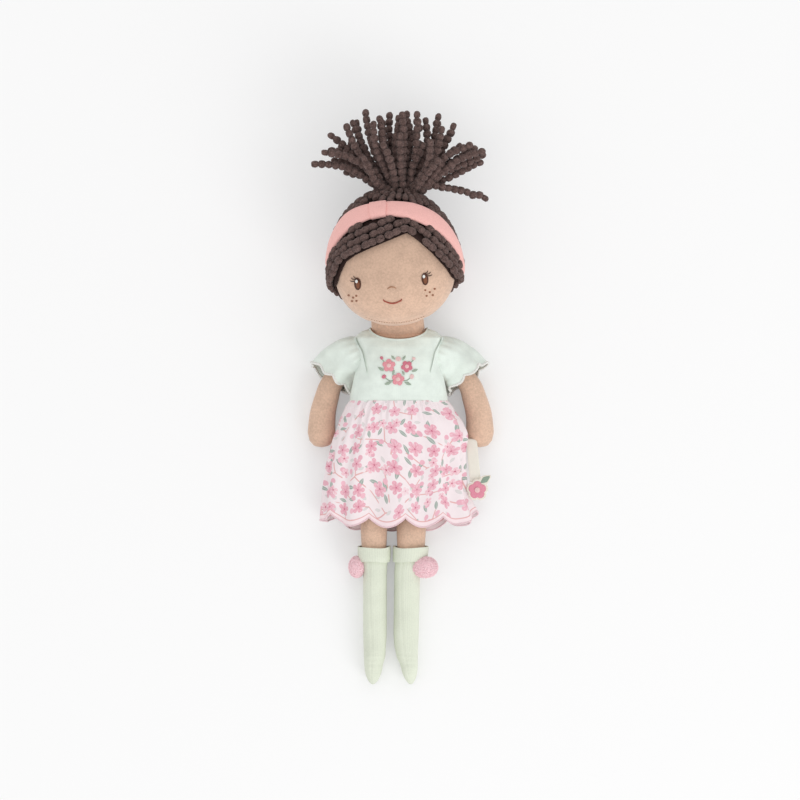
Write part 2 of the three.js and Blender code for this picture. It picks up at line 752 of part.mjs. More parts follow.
/** The rolled edge of the neckline. */
function necklineBinding() {
  const arc = (widen) => Array.from({ length: bindingStepCount }, (_, i) => {
    const angle = THREE.MathUtils.degToRad(205 + (130 * i) / (bindingStepCount - 1));
    return point2(bodyCentreX + (necklineHalfWidth + widen) * Math.cos(angle),
      shoulderHeight + seamGap + (shoulderHeight - neckDip + widen) * Math.sin(angle));
  });
  const shell = torsoForm(seamGap * 2 + clothThickness);
  const zone = prism([...arc(bindingRadius), ...arc(-bindingRadius).reverse()], torsoDepth / 2, cutOverrun);
  const layer = torsoForm(2 * seamGap + clothThickness + bindingRadius).subtract(shell);
  return largest(layer.intersect(zone).subtract(neckSweep).subtract(armholes));
}

/** A flower outline with round petals. */
function flowerOutline(x, y, radius, petals, turnDegrees) {
  const sides = petals * 6;
  return Array.from({ length: sides }, (_, i) => {
    const angle = (i * 2 * Math.PI) / sides;
    const turn = THREE.MathUtils.degToRad(turnDegrees);
    const reach = radius * (0.55 + 0.45 * Math.abs(Math.cos((petals * angle) / 2)) ** 0.6);
    return point2(x + reach * Math.cos(angle + turn), y + reach * Math.sin(angle + turn));
  });
}

/** A pointed leaf outline. */
function leafOutline(x, y, length, width, turnDegrees) {
  const turn = THREE.MathUtils.degToRad(turnDegrees);
  const cornerShares = [[0, 0], [0.35, 0.5], [0.7, 0.42], [1, 0], [0.7, -0.42], [0.35, -0.5]];
  return cornerShares.map(([along, across]) => point2(
    x + along * length * Math.cos(turn) - across * width * Math.sin(turn),
    y + along * length * Math.sin(turn) + across * width * Math.cos(turn)));
}

/** A bar outline between two places. */
function barOutline(fromX, fromY, toX, toY, width) {
  const along = point2(toX - fromX, toY - fromY).normalize();
  const side = point2(-along.y, along.x).multiplyScalar(width / 2);
  return [point2(fromX, fromY).add(side), point2(fromX, fromY).sub(side),
    point2(toX, toY).sub(side), point2(toX, toY).add(side)];
}

/** The embroidered posy on the chest: a flower between two berries on a leafy stem. */
function bodicePosy() {
  const x = bodyCentreX;
  const foot = posyCentreY - posyHeight / 2;
  const stem = posyWidth / 14;
  const outlines = [
    flowerOutline(x, posyCentreY + posyHeight * 0.24, posyHeight * 0.26, 6, 30),
    oval(x - posyWidth * 0.34, posyCentreY - posyHeight * 0.02, posyWidth * 0.12, posyWidth * 0.12, 8),
    oval(x + posyWidth * 0.34, posyCentreY - posyHeight * 0.02, posyWidth * 0.12, posyWidth * 0.12, 8),
    barOutline(x, foot, x, posyCentreY + posyHeight * 0.1, stem),
    barOutline(x, foot + posyHeight * 0.12, x - posyWidth * 0.34, posyCentreY - posyHeight * 0.05, stem),
    barOutline(x, foot + posyHeight * 0.12, x + posyWidth * 0.34, posyCentreY - posyHeight * 0.05, stem),
    leafOutline(x, foot, posyWidth * 0.34, posyHeight * 0.2, 160),
    leafOutline(x, foot, posyWidth * 0.34, posyHeight * 0.2, 20),
    oval(x, foot, stem, stem, 8),
  ];
  const zone = join(outlines.map((outline) => prism(outline, torsoDepth / 2, cutOverrun)));
  const start = 2 * seamGap + clothThickness;
  return largest(torsoForm(start + embroideryThickness).subtract(torsoForm(start)).intersect(zone));
}

// Arms

// The arm's line as shares of its reach outwards and down, and its width and thickness along it.
const armPathShares = [[0, 0], [0.3, 0.06], [0.72, 0.3], [0.87, 0.48], [0.96, 0.64], [0.99, 0.82], [0.985, 1]];
const armSizeShares = [[0, 0.95, 1.05], [0.12, 0.86, 1], [0.35, 0.78, 0.92], [0.55, 0.88, 0.94],
  [0.75, 0.96, 1], [0.86, 1, 1], [0.93, 0.88, 0.9], [0.98, 0.6, 0.62], [1, 0.28, 0.3]];
const armStopShares = [0, 0.08, 0.18, 0.3, 0.44, 0.58, 0.72, 0.84, 0.92, 0.97, 1];

/** An arm: a stuffed tube that leaves the shoulder square to its axis and swells to a round hand. */
function arm(side) {
  const start = shoulderPlace(side).addScaledVector(shoulderAxis(side), seamGap);
  const handX = side * (handSpread - Math.abs(bodyCentreX) / 2);
  const path = armPathShares.map(([outShare, downShare]) => point3(
    THREE.MathUtils.lerp(start.x, handX, outShare),
    start.y - downShare * (armLength - armHalfWidth * 1.3),
    THREE.MathUtils.lerp(start.z, armThickness / 2 - restFlat, Math.min(1, downShare * 1.4))));
  const curve = new THREE.CatmullRomCurve3(path);
  const rings = armStopShares.map((at, i) => {
    const along = i === 0 ? shoulderAxis(side) : curve.getTangentAt(at);
    const across = point3(-along.y, along.x, 0).normalize();
    const upward = new THREE.Vector3().crossVectors(along, across).normalize();
    const [, width, depth] = between(armSizeShares, at);
    const halfDepth = (depth * armThickness) / 2;
    return section(curve.getPointAt(at), across, upward, width * armHalfWidth, halfDepth, armFullness,
      limbSideCount);
  });
  return loft(raised(rings, 0));
}

// Legs

// Drop share, outer edge and inner edge as shares of the leg's half width, and thickness share.
const legShares = [[0, 1, 1, 1], [0.32, 0.98, 0.98, 1], [0.46, 0.94, 0.86, 0.94], [0.62, 0.86, 0.78, 0.86],
  [0.78, 0.83, 0.62, 0.8], [0.9, 0.78, 0.36, 0.74], [0.96, 0.66, 0.06, 0.66], [0.985, 0.5, -0.1, 0.5],
  [1, 0.4, -0.25, 0.26]];
const legLow = sockThickness + seamGap;

/** The leg's rings between two drops below the hip, offset outwards. */
function legRings(side, offset, fromDrop, toDrop, low, extra = 0) {
  const length = toeDrop + hipJointY;
  const inside = legShares.map((row) => row[0] * length).filter((drop) => drop > fromDrop && drop < toDrop);
  const drops = [fromDrop, ...inside, toDrop];
  return drops.map((drop, i) => {
    const [, outer, inner, depth] = between(legShares, drop / length);
    const isToe = toDrop >= length && i === drops.length - 1;
    const outerX = side * (outer * legHalfWidth + offset + extra);
    const innerX = -side * (inner * legHalfWidth + offset + extra);
    const half = (depth * legThickness) / 2 + offset + extra;
    const z = legLow - restFlat + (depth * legThickness) / 2;
    const y = hipJointY - drop - (isToe ? offset : 0);
    const centre = point3(hipPlace(side).x + (outerX + innerX) / 2, y, z);
    return section(centre, axisX, axisZ, Math.abs(outerX - innerX) / 2, half, legFullness, limbSideCount);
  }).map((ring) => raised([ring], low)[0]);
}

/** A leg: a stuffed tube with a round top at the hip and a pointed foot. */
function leg(side) {
  const place = hipPlace(side);
  const top = [80, 60, 40, 20].map((degrees) => {
    const angle = THREE.MathUtils.degToRad(degrees);
    const round = Math.cos(angle);
    const centre = point3(place.x, hipJointY + (legThickness / 2) * Math.sin(angle), place.z);
    const halfWidth = legHalfWidth * (0.7 + 0.3 * round);
    return section(centre, axisX, axisZ, halfWidth, (legThickness / 2) * round, legFullness, limbSideCount);
  });
  const length = toeDrop + hipJointY;
  return loft([...raised(top, legLow), ...legRings(side, 0, 0, length, legLow)]);
}

/** A pull-on sock: it follows the leg inside, and its cuff is folded over outside. */
function sock(side) {
  const length = toeDrop + hipJointY;
  const topDrop = sockTopDrop + hipJointY;
  const outer = loft(legRings(side, seamGap + sockThickness, topDrop, length, 0));
  const cuff = loft(legRings(side, seamGap + sockThickness, topDrop, topDrop + cuffDepth, 0, cuffThickness));
  const inner = loft(legRings(side, seamGap, topDrop - seamGap, length, sockThickness));
  return outer.add(cuff).subtract(inner);
}

/** The soft ball sewn to the outer side of the cuff. */
function pompom(side) {
  const ball = new THREE.SphereGeometry(pompomRadius, 12, 8);
  const outside = side * (legHalfWidth + sockThickness + cuffThickness);
  const forward = side > 0 ? legThickness * 0.86 : pompomRadius + seamGap;
  const outward = side > 0 ? -pompomRadius * 0.45 : -pompomRadius * 0.1;
  const x = hipPlace(side).x + outside + side * outward;
  const y = -(sockTopDrop + cuffDepth + pompomRadius * 0.5);
  const cuffRoom = loft(legRings(side, 2 * seamGap + sockThickness, sockTopDrop + hipJointY - seamGap,
    sockTopDrop + hipJointY + cuffDepth + seamGap, -cutOverrun, cuffThickness));
  const sockRoom = loft(legRings(side, 2 * seamGap + sockThickness, sockTopDrop + hipJointY,
    sockTopDrop + hipJointY + 4 * cuffDepth, -cutOverrun));
  return largest(solidOf(ball).translate([x, y, forward]).subtract(cuffRoom).subtract(sockRoom));
}

// Skirt: drop share, half width between waist and hem, and height of the front between waist and hem.
const skirtShares = [[0, 0, 1], [0.06, 0.14, 1.01], [0.18, 0.36, 0.97], [0.36, 0.6, 0.78], [0.58, 0.8, 0.46],
  [0.8, 0.93, 0.16], [1, 1, 0]];

/** The point of the skirt at a drop share and an angle, moved inwards by a depth. */
function skirtPoint(share, angle, inwards) {
  const [, spread, lift] = between(skirtShares, share);
  const waist = torsoWaistHalfWidth + 2 * seamGap + clothThickness;
  const waistFront = torsoDepth + 3 * seamGap + 2 * clothThickness - restFlat;
  const pull = skirtSidePull * Math.sin(Math.PI * share ** 2.2) * Math.max(0, Math.cos(angle));
  const folds = skirtFoldDepth * Math.min(1, share * 1.6 + 0.06) * Math.cos(angle * skirtFoldCount);
  const halfWidth = THREE.MathUtils.lerp(waist, skirtHemHalfWidth, spread) + folds * 0.6 - inwards;
  const front = THREE.MathUtils.lerp(skirtHemHeight, waistFront, lift) + folds * 0.6 - inwards;
  const half = (front - inwards + restFlat) / 2;
  const ring = section(point3(bodyCentreX, 0, 0), axisX, axisZ, halfWidth, half, skirtFullness, skirtSideCount);
  const point = ring[Math.round((angle * skirtSideCount) / (2 * Math.PI))].clone();
  const scallop = hemScallopDepth * Math.abs(Math.sin((angle * skirtScallopCount) / 2));
  point.z = Math.max(point.z + half + inwards - restFlat, skirtLift + inwards);
  point.x -= pull;
  point.y = -seamGap - share * (skirtLength - hemScallopDepth - seamGap) - share ** 4 * scallop;
  return point;
}

const skirtAngles = Array.from({ length: skirtSideCount }, (_, i) => (i * 2 * Math.PI) / skirtSideCount);
const skirtRing = (share, inwards) => skirtAngles.map((angle) => skirtPoint(share, angle, inwards));
const skirtRows = skirtShares.map((row) => row[0]);
const skirt = clothTube(skirtRows.map((share) => skirtRing(share, 0)),
  skirtRows.map((share) => skirtRing(share, skirtThickness)));
const hemPath = skirtAngles.map((angle) => {
  const point = skirtPoint(1, angle, skirtThickness / 2);
  point.y -= 1.5 * seamGap + hemRollRadius * 2;
  point.z = Math.max(point.z, skirtLift + hemRollRadius);
  return point;
});
const skirtHem = closedTube(hemPath, hemRollRadius, 5);

// Sleeves: a flounce from the armhole to a waved, scalloped hem.

/** The point of a sleeve at a share of its length and an angle, moved inwards by a depth. */
function sleevePoint(side, share, angle, inwards) {
  const axis = shoulderAxis(side);
  const start = shoulderPlace(side).addScaledVector(axis, seamGap);
  const hemAxis = point3(side * 0.62, -0.78, 0).normalize();
  const along = axis.clone().lerp(hemAxis, Math.min(1, share * 1.2)).normalize();
  const centre = start.addScaledVector(axis, sleeveLength * 0.36 * share * (2 - share))
    .addScaledVector(hemAxis, sleeveLength * 0.6 * share);
  const across = point3(-along.y, along.x, 0).normalize();
  const waves = sleeveFoldDepth * share * Math.cos(angle * sleeveFoldCount + side);
  const radius = THREE.MathUtils.lerp(armholeRadius, sleeveHemRadius, share ** 0.8) + waves - inwards;
  const depth = THREE.MathUtils.lerp(armholeRadius, sleeveHemRadius * 0.86, share ** 0.8) + waves - inwards;
  const scallop = sleeveScallopDepth * Math.abs(Math.sin((angle * sleeveScallopCount) / 2));
  const point = centre.addScaledVector(across, radius * Math.cos(angle))
    .addScaledVector(axisZ, depth * Math.sin(angle))
    .addScaledVector(hemAxis, scallop * share ** 3);
  point.z = Math.max(point.z, skirtLift + inwards);
  return point;
}

const sleeveAngles = Array.from({ length: sleeveSideCount }, (_, i) => (i * 2 * Math.PI) / sleeveSideCount);
const sleeveShares = [0, 0.3, 0.65, 1];

/** A sleeve of thin cloth. */
function sleeve(side) {
  const ring = (share, inwards) => sleeveAngles.map((angle) => sleevePoint(side, share, angle, inwards));
  const outer = sleeveShares.map((share) => ring(share, 0));
  return clothTube(outer, sleeveShares.map((share) => ring(share, clothThickness)));
}

/** The overlocked white edge round a sleeve's hem. */
function sleeveEdging(side) {
  const hemAxis = point3(side * 0.62, -0.78, 0).normalize();
  const path = sleeveAngles.map((angle) => {
    const point = sleevePoint(side, 1, angle, clothThickness / 2);
    point.addScaledVector(hemAxis, seamGap + bindingRadius);
    point.z = Math.max(point.z, skirtLift + bindingRadius);
    return point;
  });
  return closedTube(path, bindingRadius, 4);
}

// Side label and charm

/** The tape sewn into the side seam of the skirt. */
function labelPiece() {
  const top = -labelTopDrop;
  const lean = labelWidth * 0.1;
  const half = labelWidth / 2;
  const foot = top - labelLength;
  const outline = [point2(labelX - half - lean, top), point2(labelX + half / 2 - lean, top),
    point2(labelX + half - lean, top - half / 2), point2(labelX + half + lean, foot),
    point2(labelX - half + lean, foot)];
  return prism(outline, labelLiftZ, labelLiftZ + feltThickness);
}

/** The felt flower that hangs under the tape. */
function charmPiece() {
  const x = labelX + charmRadius * 0.75;
  const y = -labelTopDrop - labelLength - charmRadius * 0.6;
  const low = labelLiftZ + feltThickness + seamGap;
  const flower = flowerOutline(x, y, charmRadius, petalCount, 90);
  const leaf = leafOutline(x + charmRadius * 0.4, y + charmRadius * 0.3, charmRadius, charmRadius * 0.6, 48);
  return join([flower, leaf].map((outline) => prism(outline, low, low + feltThickness)));
}

// The doll

addPiece('torso', torso, plush);
addPiece('neck', neck, plush);
addPiece('head', placed(skinHead).subtract(plugBore), plush);
addPiece('hair_cap', placed(hairCap), hairCloth);
addPiece('crown_yarn', aboveSurface(placed(crownYarn)), yarn);
addPiece('nape_yarn', aboveSurface(placed(napeYarn)), yarn);
addPiece('fringe_right', placed(fringe(hairlineLeftShares, -1)), yarn);
addPiece('fringe_left', placed(fringe(hairlineRightShares, 1)), yarn);
addPiece('ponytail', aboveSurface(placed(ponytail())), yarn);
addPiece('ponytail_tie', placed(tieRing(0)), hairCloth);
addPiece('headband', aboveSurface(placed(band)), bandCloth);
addPiece('headband_loop', placed(headbandLoop()), bandCloth);
addPiece('eye_right', placed(faceStitch(eyeOutline(-1))), brownThread);
addPiece('eye_left', placed(faceStitch(eyeOutline(1))), brownThread);
addPiece('mouth', placed(mouthLine), lipThread);
addPiece('nose', placed(noseLine), noseThread);
addPiece('bodice', bodice, jersey);
addPiece('neckline_binding', necklineBinding(), jersey);
addPiece('bodice_posy', bodicePosy(), roseThread);
addPiece('skirt', skirt, printedCotton);
addPiece('skirt_hem', skirtHem, roseThread);
for (const [side, name] of [[-1, 'right'], [1, 'left']]) {
  addPiece(`arm_${name}`, arm(side), plush);
  addPiece(`sleeve_${name}`, sleeve(side), jersey);
  addPiece(`sleeve_edging_${name}`, sleeveEdging(side), whiteThread);
  addPiece(`leg_${name}`, leg(side), plush);
  addPiece(`sock_${name}`, sock(side), sockKnit);
  addPiece(`pompom_${name}`, pompom(side), pompomYarn);
}
addPiece('label', labelPiece(), labelTape);
addPiece('charm', charmPiece(), charmFelt);

doll.position.set(0, -restPointHeight, 0);

export default doll;
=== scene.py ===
"""Looks of a soft rag doll that lies on its back: plush body, beaded yarn hair, dress and socks.

Lengths are metres in the doll's own frame: +Z out of the chest, +Y to the head, +X to its left.
"""

import bisect
import logging
import math
import random
from dataclasses import dataclass, field
from enum import Enum
from typing import Callable, Sequence

import bmesh
import bpy
from mathutils import Matrix, Vector
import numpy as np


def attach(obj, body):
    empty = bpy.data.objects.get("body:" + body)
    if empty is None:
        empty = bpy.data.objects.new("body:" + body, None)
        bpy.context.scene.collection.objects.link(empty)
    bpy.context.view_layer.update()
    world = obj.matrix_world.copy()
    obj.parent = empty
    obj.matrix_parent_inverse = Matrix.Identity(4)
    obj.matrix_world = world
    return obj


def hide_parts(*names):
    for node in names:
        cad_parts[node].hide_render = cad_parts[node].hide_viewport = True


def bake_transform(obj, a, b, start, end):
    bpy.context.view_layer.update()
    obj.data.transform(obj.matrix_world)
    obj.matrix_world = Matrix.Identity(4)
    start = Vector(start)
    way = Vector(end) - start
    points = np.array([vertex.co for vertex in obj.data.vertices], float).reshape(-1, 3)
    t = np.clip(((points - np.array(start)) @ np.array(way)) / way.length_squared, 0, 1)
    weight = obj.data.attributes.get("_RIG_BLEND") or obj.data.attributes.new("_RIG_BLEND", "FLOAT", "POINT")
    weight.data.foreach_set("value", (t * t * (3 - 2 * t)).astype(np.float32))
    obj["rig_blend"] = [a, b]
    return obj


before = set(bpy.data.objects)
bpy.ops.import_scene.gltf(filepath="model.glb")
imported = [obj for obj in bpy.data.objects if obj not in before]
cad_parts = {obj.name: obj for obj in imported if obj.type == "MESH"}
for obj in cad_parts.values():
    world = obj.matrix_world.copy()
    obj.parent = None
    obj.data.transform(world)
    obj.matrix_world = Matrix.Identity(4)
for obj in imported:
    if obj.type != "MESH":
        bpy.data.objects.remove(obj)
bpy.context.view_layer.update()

log = logging.getLogger("doll")

MM = 0.001
WAIST_Y = -18 * MM
TAU = 2 * math.pi
TABLE_EASE = 0.35


class Side(Enum):
    """A side of the doll: its own right is at -X and its own left at +X."""

    RIGHT = -1
    LEFT = 1

    @property
    def label(self) -> str:
        """The word that ends a node's name on this side."""
        return self.name.lower()


Colour = tuple[float, float, float]
Finishes = dict[str, bpy.types.Material]


def shade(red: int, green: int, blue: int) -> Colour:
    """Turns a colour as a screen shows it into the linear one that a shader takes.

    Args:
        red: Red from 0 to 255.
        green: Green from 0 to 255.
        blue: Blue from 0 to 255.

    Returns:
        The linear colour.
    """

    def linear(value: int) -> float:
        """One part of the colour, without the screen's curve."""
        part = value / 255
        return part / 12.92 if part <= 0.04045 else ((part + 0.055) / 1.055) ** 2.4

    return linear(red), linear(green), linear(blue)


def toned(colour: Colour, factor: float) -> Colour:
    """A colour made darker or lighter by a factor, and no lighter than white."""
    return tuple(min(part * factor, 1.0) for part in colour)


def smooth(value: float) -> float:
    """A smooth step of a share that is first held between 0 and 1."""
    held = min(max(value, 0.0), 1.0)
    return held * held * (3 - 2 * held)


def mix(low: float, high: float, share: float) -> float:
    """The value at a share of the way from low to high."""
    return low + (high - low) * share


def eased(share: float, ease: float) -> float:
    """A share of which a part, the ease, follows a smooth step and the rest a straight line."""
    return smooth(share) * ease + share * (1 - ease)


def bell(distance: float, width: float) -> float:
    """A bell curve: 1 at no distance, and next to nothing at twice the width."""
    return math.exp(-(distance / width) ** 2)


def read_table(rows: Sequence[Sequence[float]], at: float) -> list[float]:
    """Reads a table of shares at a place between its rows.

    Args:
        rows: Rows that start with their place, in rising order.
        at: The place to read at.

    Returns:
        The row's values at that place, the place left out.
    """
    if at <= rows[0][0]:
        return list(rows[0][1:])
    for low, high in zip(rows, rows[1:]):
        if at <= high[0]:
            share = eased((at - low[0]) / (high[0] - low[0]), TABLE_EASE)
            return [mix(a, b, share) for a, b in zip(low[1:], high[1:])]
    return list(rows[-1][1:])


def rounded(angle: float, fullness: float) -> tuple[float, float]:
    """The point of a rounded unit section at an angle; a fullness of 2 is a circle."""
    c, s = math.cos(angle), math.sin(angle)
    return (math.copysign(abs(c) ** (2 / fullness), c), math.copysign(abs(s) ** (2 / fullness), s))


def wave(seed: float, x: float, y: float) -> float:
    """A smooth, even wobble from -1 to 1 that depends on a place and a seed."""
    return (math.sin(x * 1.7 + seed * 2.3) * math.cos(y * 1.3 + seed) + math.sin(x * 0.6 - y * 0.9 + seed * 4.1)) / 2


SHEEN_ROUGHNESS = 0.45
MERGE_REACH = 1e-6


def math_node(operation: str, swapped: bool = False) -> Callable:
    """Makes a method of Value that adds a Math node.

    Args:
        operation: The node's operation.
        swapped: Whether the value itself comes last.

    Returns:
        The method.
    """

    def method(self: "Value", *others: "Value | float") -> "Value":
        """The outcome of the node's operation on this value and others."""
        values = (*others, self) if swapped else (self, *others)
        return self.shader.node("ShaderNodeMath", {"operation": operation}, dict(enumerate(values)))

    return method


class Value:
    """A shader socket that takes part in Python expressions."""

    __add__, __radd__ = math_node("ADD"), math_node("ADD", swapped=True)
    __sub__, __rsub__ = math_node("SUBTRACT"), math_node("SUBTRACT", swapped=True)
    __mul__, __rmul__ = math_node("MULTIPLY"), math_node("MULTIPLY", swapped=True)
    __truediv__, __pow__ = math_node("DIVIDE"), math_node("POWER")
    maximum, absolute, root = math_node("MAXIMUM"), math_node("ABSOLUTE"), math_node("SQRT")
    sine, cosine = math_node("SINE"), math_node("COSINE")

    def __init__(self, shader: "Shader", socket: bpy.types.NodeSocket) -> None:
        """Wraps a socket of a shader."""
        self.shader = shader
        self.socket = socket

    def waves(self, length: float) -> "Value":
        """The sine of this value, with waves of the given length."""
        return (self * (TAU / length)).sine()

    def lifted(self) -> "Value":
        """A value from -1 to 1 turned into one from 0 to 1."""
        return self * 0.5 + 0.5

    def step(self, low: float, high: float) -> "Value":
        """A smooth step of this value from 0 at low to 1 at high.

        Args:
            low: Where it starts to rise, or to fall if it is above high.
            high: Where it ends.

        Returns:
            The step.
        """
        if low > high:
            return 1 - self.step(high, low)
        settings = {"interpolation_type": "SMOOTHSTEP", "clamp": True}
        return self.shader.node("ShaderNodeMapRange", settings, {"Value": self, "From Min": low, "From Max": high})


class Shader:
    """A material under construction."""

    def __init__(self, name: str) -> None:
        """Starts an empty material with a Principled shader and its output.

        Args:
            name: The material's name.
        """
        self.material = bpy.data.materials.new(name)
        self.material.use_nodes = True
        self.tree = self.material.node_tree
        self.tree.nodes.clear()
        self.surface = self.tree.nodes.new("ShaderNodeBsdfPrincipled")
        self.output = self.tree.nodes.new("ShaderNodeOutputMaterial")
        self.tree.links.new(self.surface.outputs[0], self.output.inputs[0])

    def node(self, kind: str, settings: dict, inputs: dict, output: str | int = 0) -> Value:
        """Adds a node.

        Args:
            kind: The node's type.
            settings: Attributes of the node, set before its sockets.
            inputs: Values or links by socket name or number.
            output: The output to hand back.

        Returns:
            The chosen output.
        """
        made = self.tree.nodes.new(kind)
        for name, value in settings.items():
            setattr(made, name, value)
        for name, value in inputs.items():
            self.feed(made.inputs[name], value)
        return Value(self, made.outputs[output])

    def feed(self, socket: bpy.types.NodeSocket, value: object) -> None:
        """Links a value to a socket, or sets it there.

        Args:
            socket: The socket.
            value: A link, a colour or a number.
        """
        if isinstance(value, Value):
            self.tree.links.new(value.socket, socket)
        elif isinstance(value, tuple) and socket.type == "RGBA":
            socket.default_value = (*value, 1.0)
        else:
            socket.default_value = value

    def place(self, layer: str = "Object") -> Value:
        """The place of a point: on the object, or in its UV map in metres."""
        return self.node("ShaderNodeTexCoord", {}, {}, layer)

    def parts(self, vector: Value) -> tuple[Value, Value, Value]:
        """The X, Y and Z of a vector.

        Args:
            vector: The vector.

        Returns:
            Its X, Y and Z.
        """
        x = self.node("ShaderNodeSeparateXYZ", {}, {0: vector}, 0)
        outputs = x.socket.node.outputs
        return x, Value(self, outputs[1]), Value(self, outputs[2])

    def vector_math(self, operation: str, first: Value, second: object, output: str | int = 0) -> Value:
        """Adds a Vector Math node over two vectors."""
        return self.node("ShaderNodeVectorMath", {"operation": operation}, {0: first, 1: second}, output)

    def noise(self, vector: Value, size: float, detail: float = 2.0, roughness: float = 0.5) -> Value:
        """Noise from 0 to 1 whose blobs are about the given size across."""
        return self.node("ShaderNodeTexNoise", {"noise_dimensions": "3D"},
                         {"Vector": vector, "Scale": 1 / size, "Detail": detail, "Roughness": roughness})

    def blend(self, share: Value | float, low: "Value | Colour", high: "Value | Colour") -> Value:
        """A colour between two colours.

        Args:
            share: 0 for the low colour, 1 for the high one.
            low: A colour.
            high: A colour.

        Returns:
            The colour between them.
        """
        made = self.tree.nodes.new("ShaderNodeMix")
        made.data_type = "RGBA"
        self.feed(made.inputs[0], share)
        self.feed(made.inputs[6], low)
        self.feed(made.inputs[7], high)
        return Value(self, made.outputs[2])

    def two_tone(self, share: Value, colour: Colour, dark: float, light: float) -> Value:
        """A colour between its darker and its lighter tone, which are factors of it."""
        return self.blend(share, toned(colour, dark), toned(colour, light))

    def bump(self, height: Value, depth: float, over: Value | None = None) -> Value:
        """A bumped normal whose full height is the depth in metres, over another normal if there is one.

        Args:
            height: The height from 0 to 1.
            depth: The full height in metres.
            over: A normal that it is laid over.

        Returns:
            The bumped normal.
        """
        inputs = {"Height": height, "Distance": depth, "Strength": 1.0}
        if over is not None:
            inputs["Normal"] = over
        return self.node("ShaderNodeBump", {}, inputs)

    def finish(self, colour: "Value | Colour", normal: Value | None = None, roughness: float = 0.9,
               sheen: float = 0.0, specular: float = 0.25) -> bpy.types.Material:
        # The second, thin brown line is painted shadow, where the inside of the neckline lies in shade.
        """Makes the narrow turned edge round the neckline, and a thin brown line of painted shadow just inside it.
            roughness: The roughness, the same all over.
            sheen: The weight of the soft sheen of short fibres.
            specular: The specular level.

        Returns:
            The finished material.
        """
        sockets = self.surface.inputs
        self.feed(sockets["Base Color"], colour)
        sockets["Roughness"].default_value = roughness
        sockets["Sheen Weight"].default_value = sheen
        sockets["Sheen Roughness"].default_value = SHEEN_ROUGHNESS
        sockets["Specular IOR Level"].default_value = specular
        if normal is not None:
            self.feed(sockets["Normal"], normal)
        return self.material


@dataclass
class Maker:
    """Turns a bmesh into a finished piece of the doll."""

    slot: str
    body: str
    crease: float = field(default=math.radians(62), kw_only=True)

    def sheet(self, made: bpy.types.Object, flat: tuple[float, float], held: str,
              rests_on: Sequence[str] = ()) -> None:
        """Takes the facts of a piece as cloth, and does nothing with them.

        Args:
            made: The piece, with both of its faces; not used.
            flat: The flat size in millimetres it was cut from; not used.
            held: How it is held; not used.
            rests_on: The pieces it lies on; not used.
        """

    def piece(self, name: str, bm: bmesh.types.BMesh, material: bpy.types.Material,
              replaces: Sequence[str] = (), body: str | None = None) -> bpy.types.Object:
        """Makes an object of a bmesh, dresses it and lets it ride on its body.

        Args:
            name: The piece's name.
            bm: The mesh, in its place; it is freed.
            material: The finish.
            replaces: The solids that the piece stands for.
            body: The body it rides on, if not the maker's own; empty if it is blended over two.

        Returns:
            The piece.
        """
        for edge in bm.edges:
            edge.smooth = not edge.is_manifold or edge.calc_face_angle() < self.crease
        mesh = bpy.data.meshes.new(name)
        bm.to_mesh(mesh)
        bm.free()
        made = bpy.data.objects.new(name, mesh)
        bpy.context.scene.collection.objects.link(made)
        mesh.materials.append(material)
        mesh.shade_smooth()
        body = self.body if body is None else body
        if body:
            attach(made, body)
        if replaces:
            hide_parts(*replaces)
        log.info("%s: %d faces on %s", name, len(mesh.polygons), body or "two bodies")
        return made

    def stuffed(self, name: str, bm: bmesh.types.BMesh, material: bpy.types.Material, node: str, fill: float,
                body: str | None = None) -> None:
        """Makes a padded piece that stands for one solid.

        Args:
            name: The piece's name.
            bm: The mesh, in its place; it is freed.
            material: The finish.
            node: The solid that the piece stands for.
            fill: How full it is stuffed, from 0 to 1; not used.
            body: The body it rides on, if not the maker's own.
        """
        self.piece(name, bm, material, [node], body)


Place = Callable[[float, float], Vector]


def surface(columns: int, rows: int, place: Place,
            flat: "tuple[float, float] | Callable" = (1.0, 1.0)) -> bmesh.types.BMesh:
    """A grid laid over a surface, with a UV map in metres; its edges are merged where they meet.

    Args:
        columns: Faces along the first share.
        rows: Faces along the second share.
        place: Gives the point at two shares from 0 to 1.
        flat: The size of the cloth laid flat, for the UV map, or the place on it at two shares.

    Returns:
        The mesh.
    """
    bm = bmesh.new()
    bmesh.ops.create_grid(bm, x_segments=columns, y_segments=rows, size=0.5)
    layer = bm.loops.layers.uv.new("UVMap")
    for face in bm.faces:
        for loop in face.loops:
            u, v = loop.vert.co.x + 0.5, loop.vert.co.y + 0.5
            loop[layer].uv = flat(u, v) if callable(flat) else (u * flat[0], v * flat[1])
    for vert in bm.verts:
        vert.co = place(vert.co.x + 0.5, vert.co.y + 0.5)
    bmesh.ops.remove_doubles(bm, verts=bm.verts, dist=MERGE_REACH)
    bmesh.ops.dissolve_degenerate(bm, edges=bm.edges, dist=MERGE_REACH / 10)
    bmesh.ops.delete(bm, geom=[edge for edge in bm.edges if not edge.link_faces], context="EDGES")
    bmesh.ops.recalc_face_normals(bm, faces=bm.faces)
    return bm


def facing_out(bm: bmesh.types.BMesh, middle: Vector) -> bmesh.types.BMesh:
    """Turns an open sheet's faces away from a middle point.

    Args:
        bm: The sheet.
        middle: The point inside it.

    Returns:
        The same sheet.
    """
    away = sum((face.calc_center_median() - middle).dot(face.normal) * face.calc_area() for face in bm.faces)
    if away < 0:
        bmesh.ops.reverse_faces(bm, faces=bm.faces)
    return bm


def thicken(bm: bmesh.types.BMesh, thickness: float) -> bmesh.types.BMesh:
    """Gives a sheet its thickness, inwards from its outer face.

    Args:
        bm: The sheet.
        thickness: Its thickness.

    Returns:
        The same mesh, closed.
    """
    bmesh.ops.solidify(bm, geom=bm.faces[:], thickness=thickness)
    bmesh.ops.recalc_face_normals(bm, faces=bm.faces)
    return bm


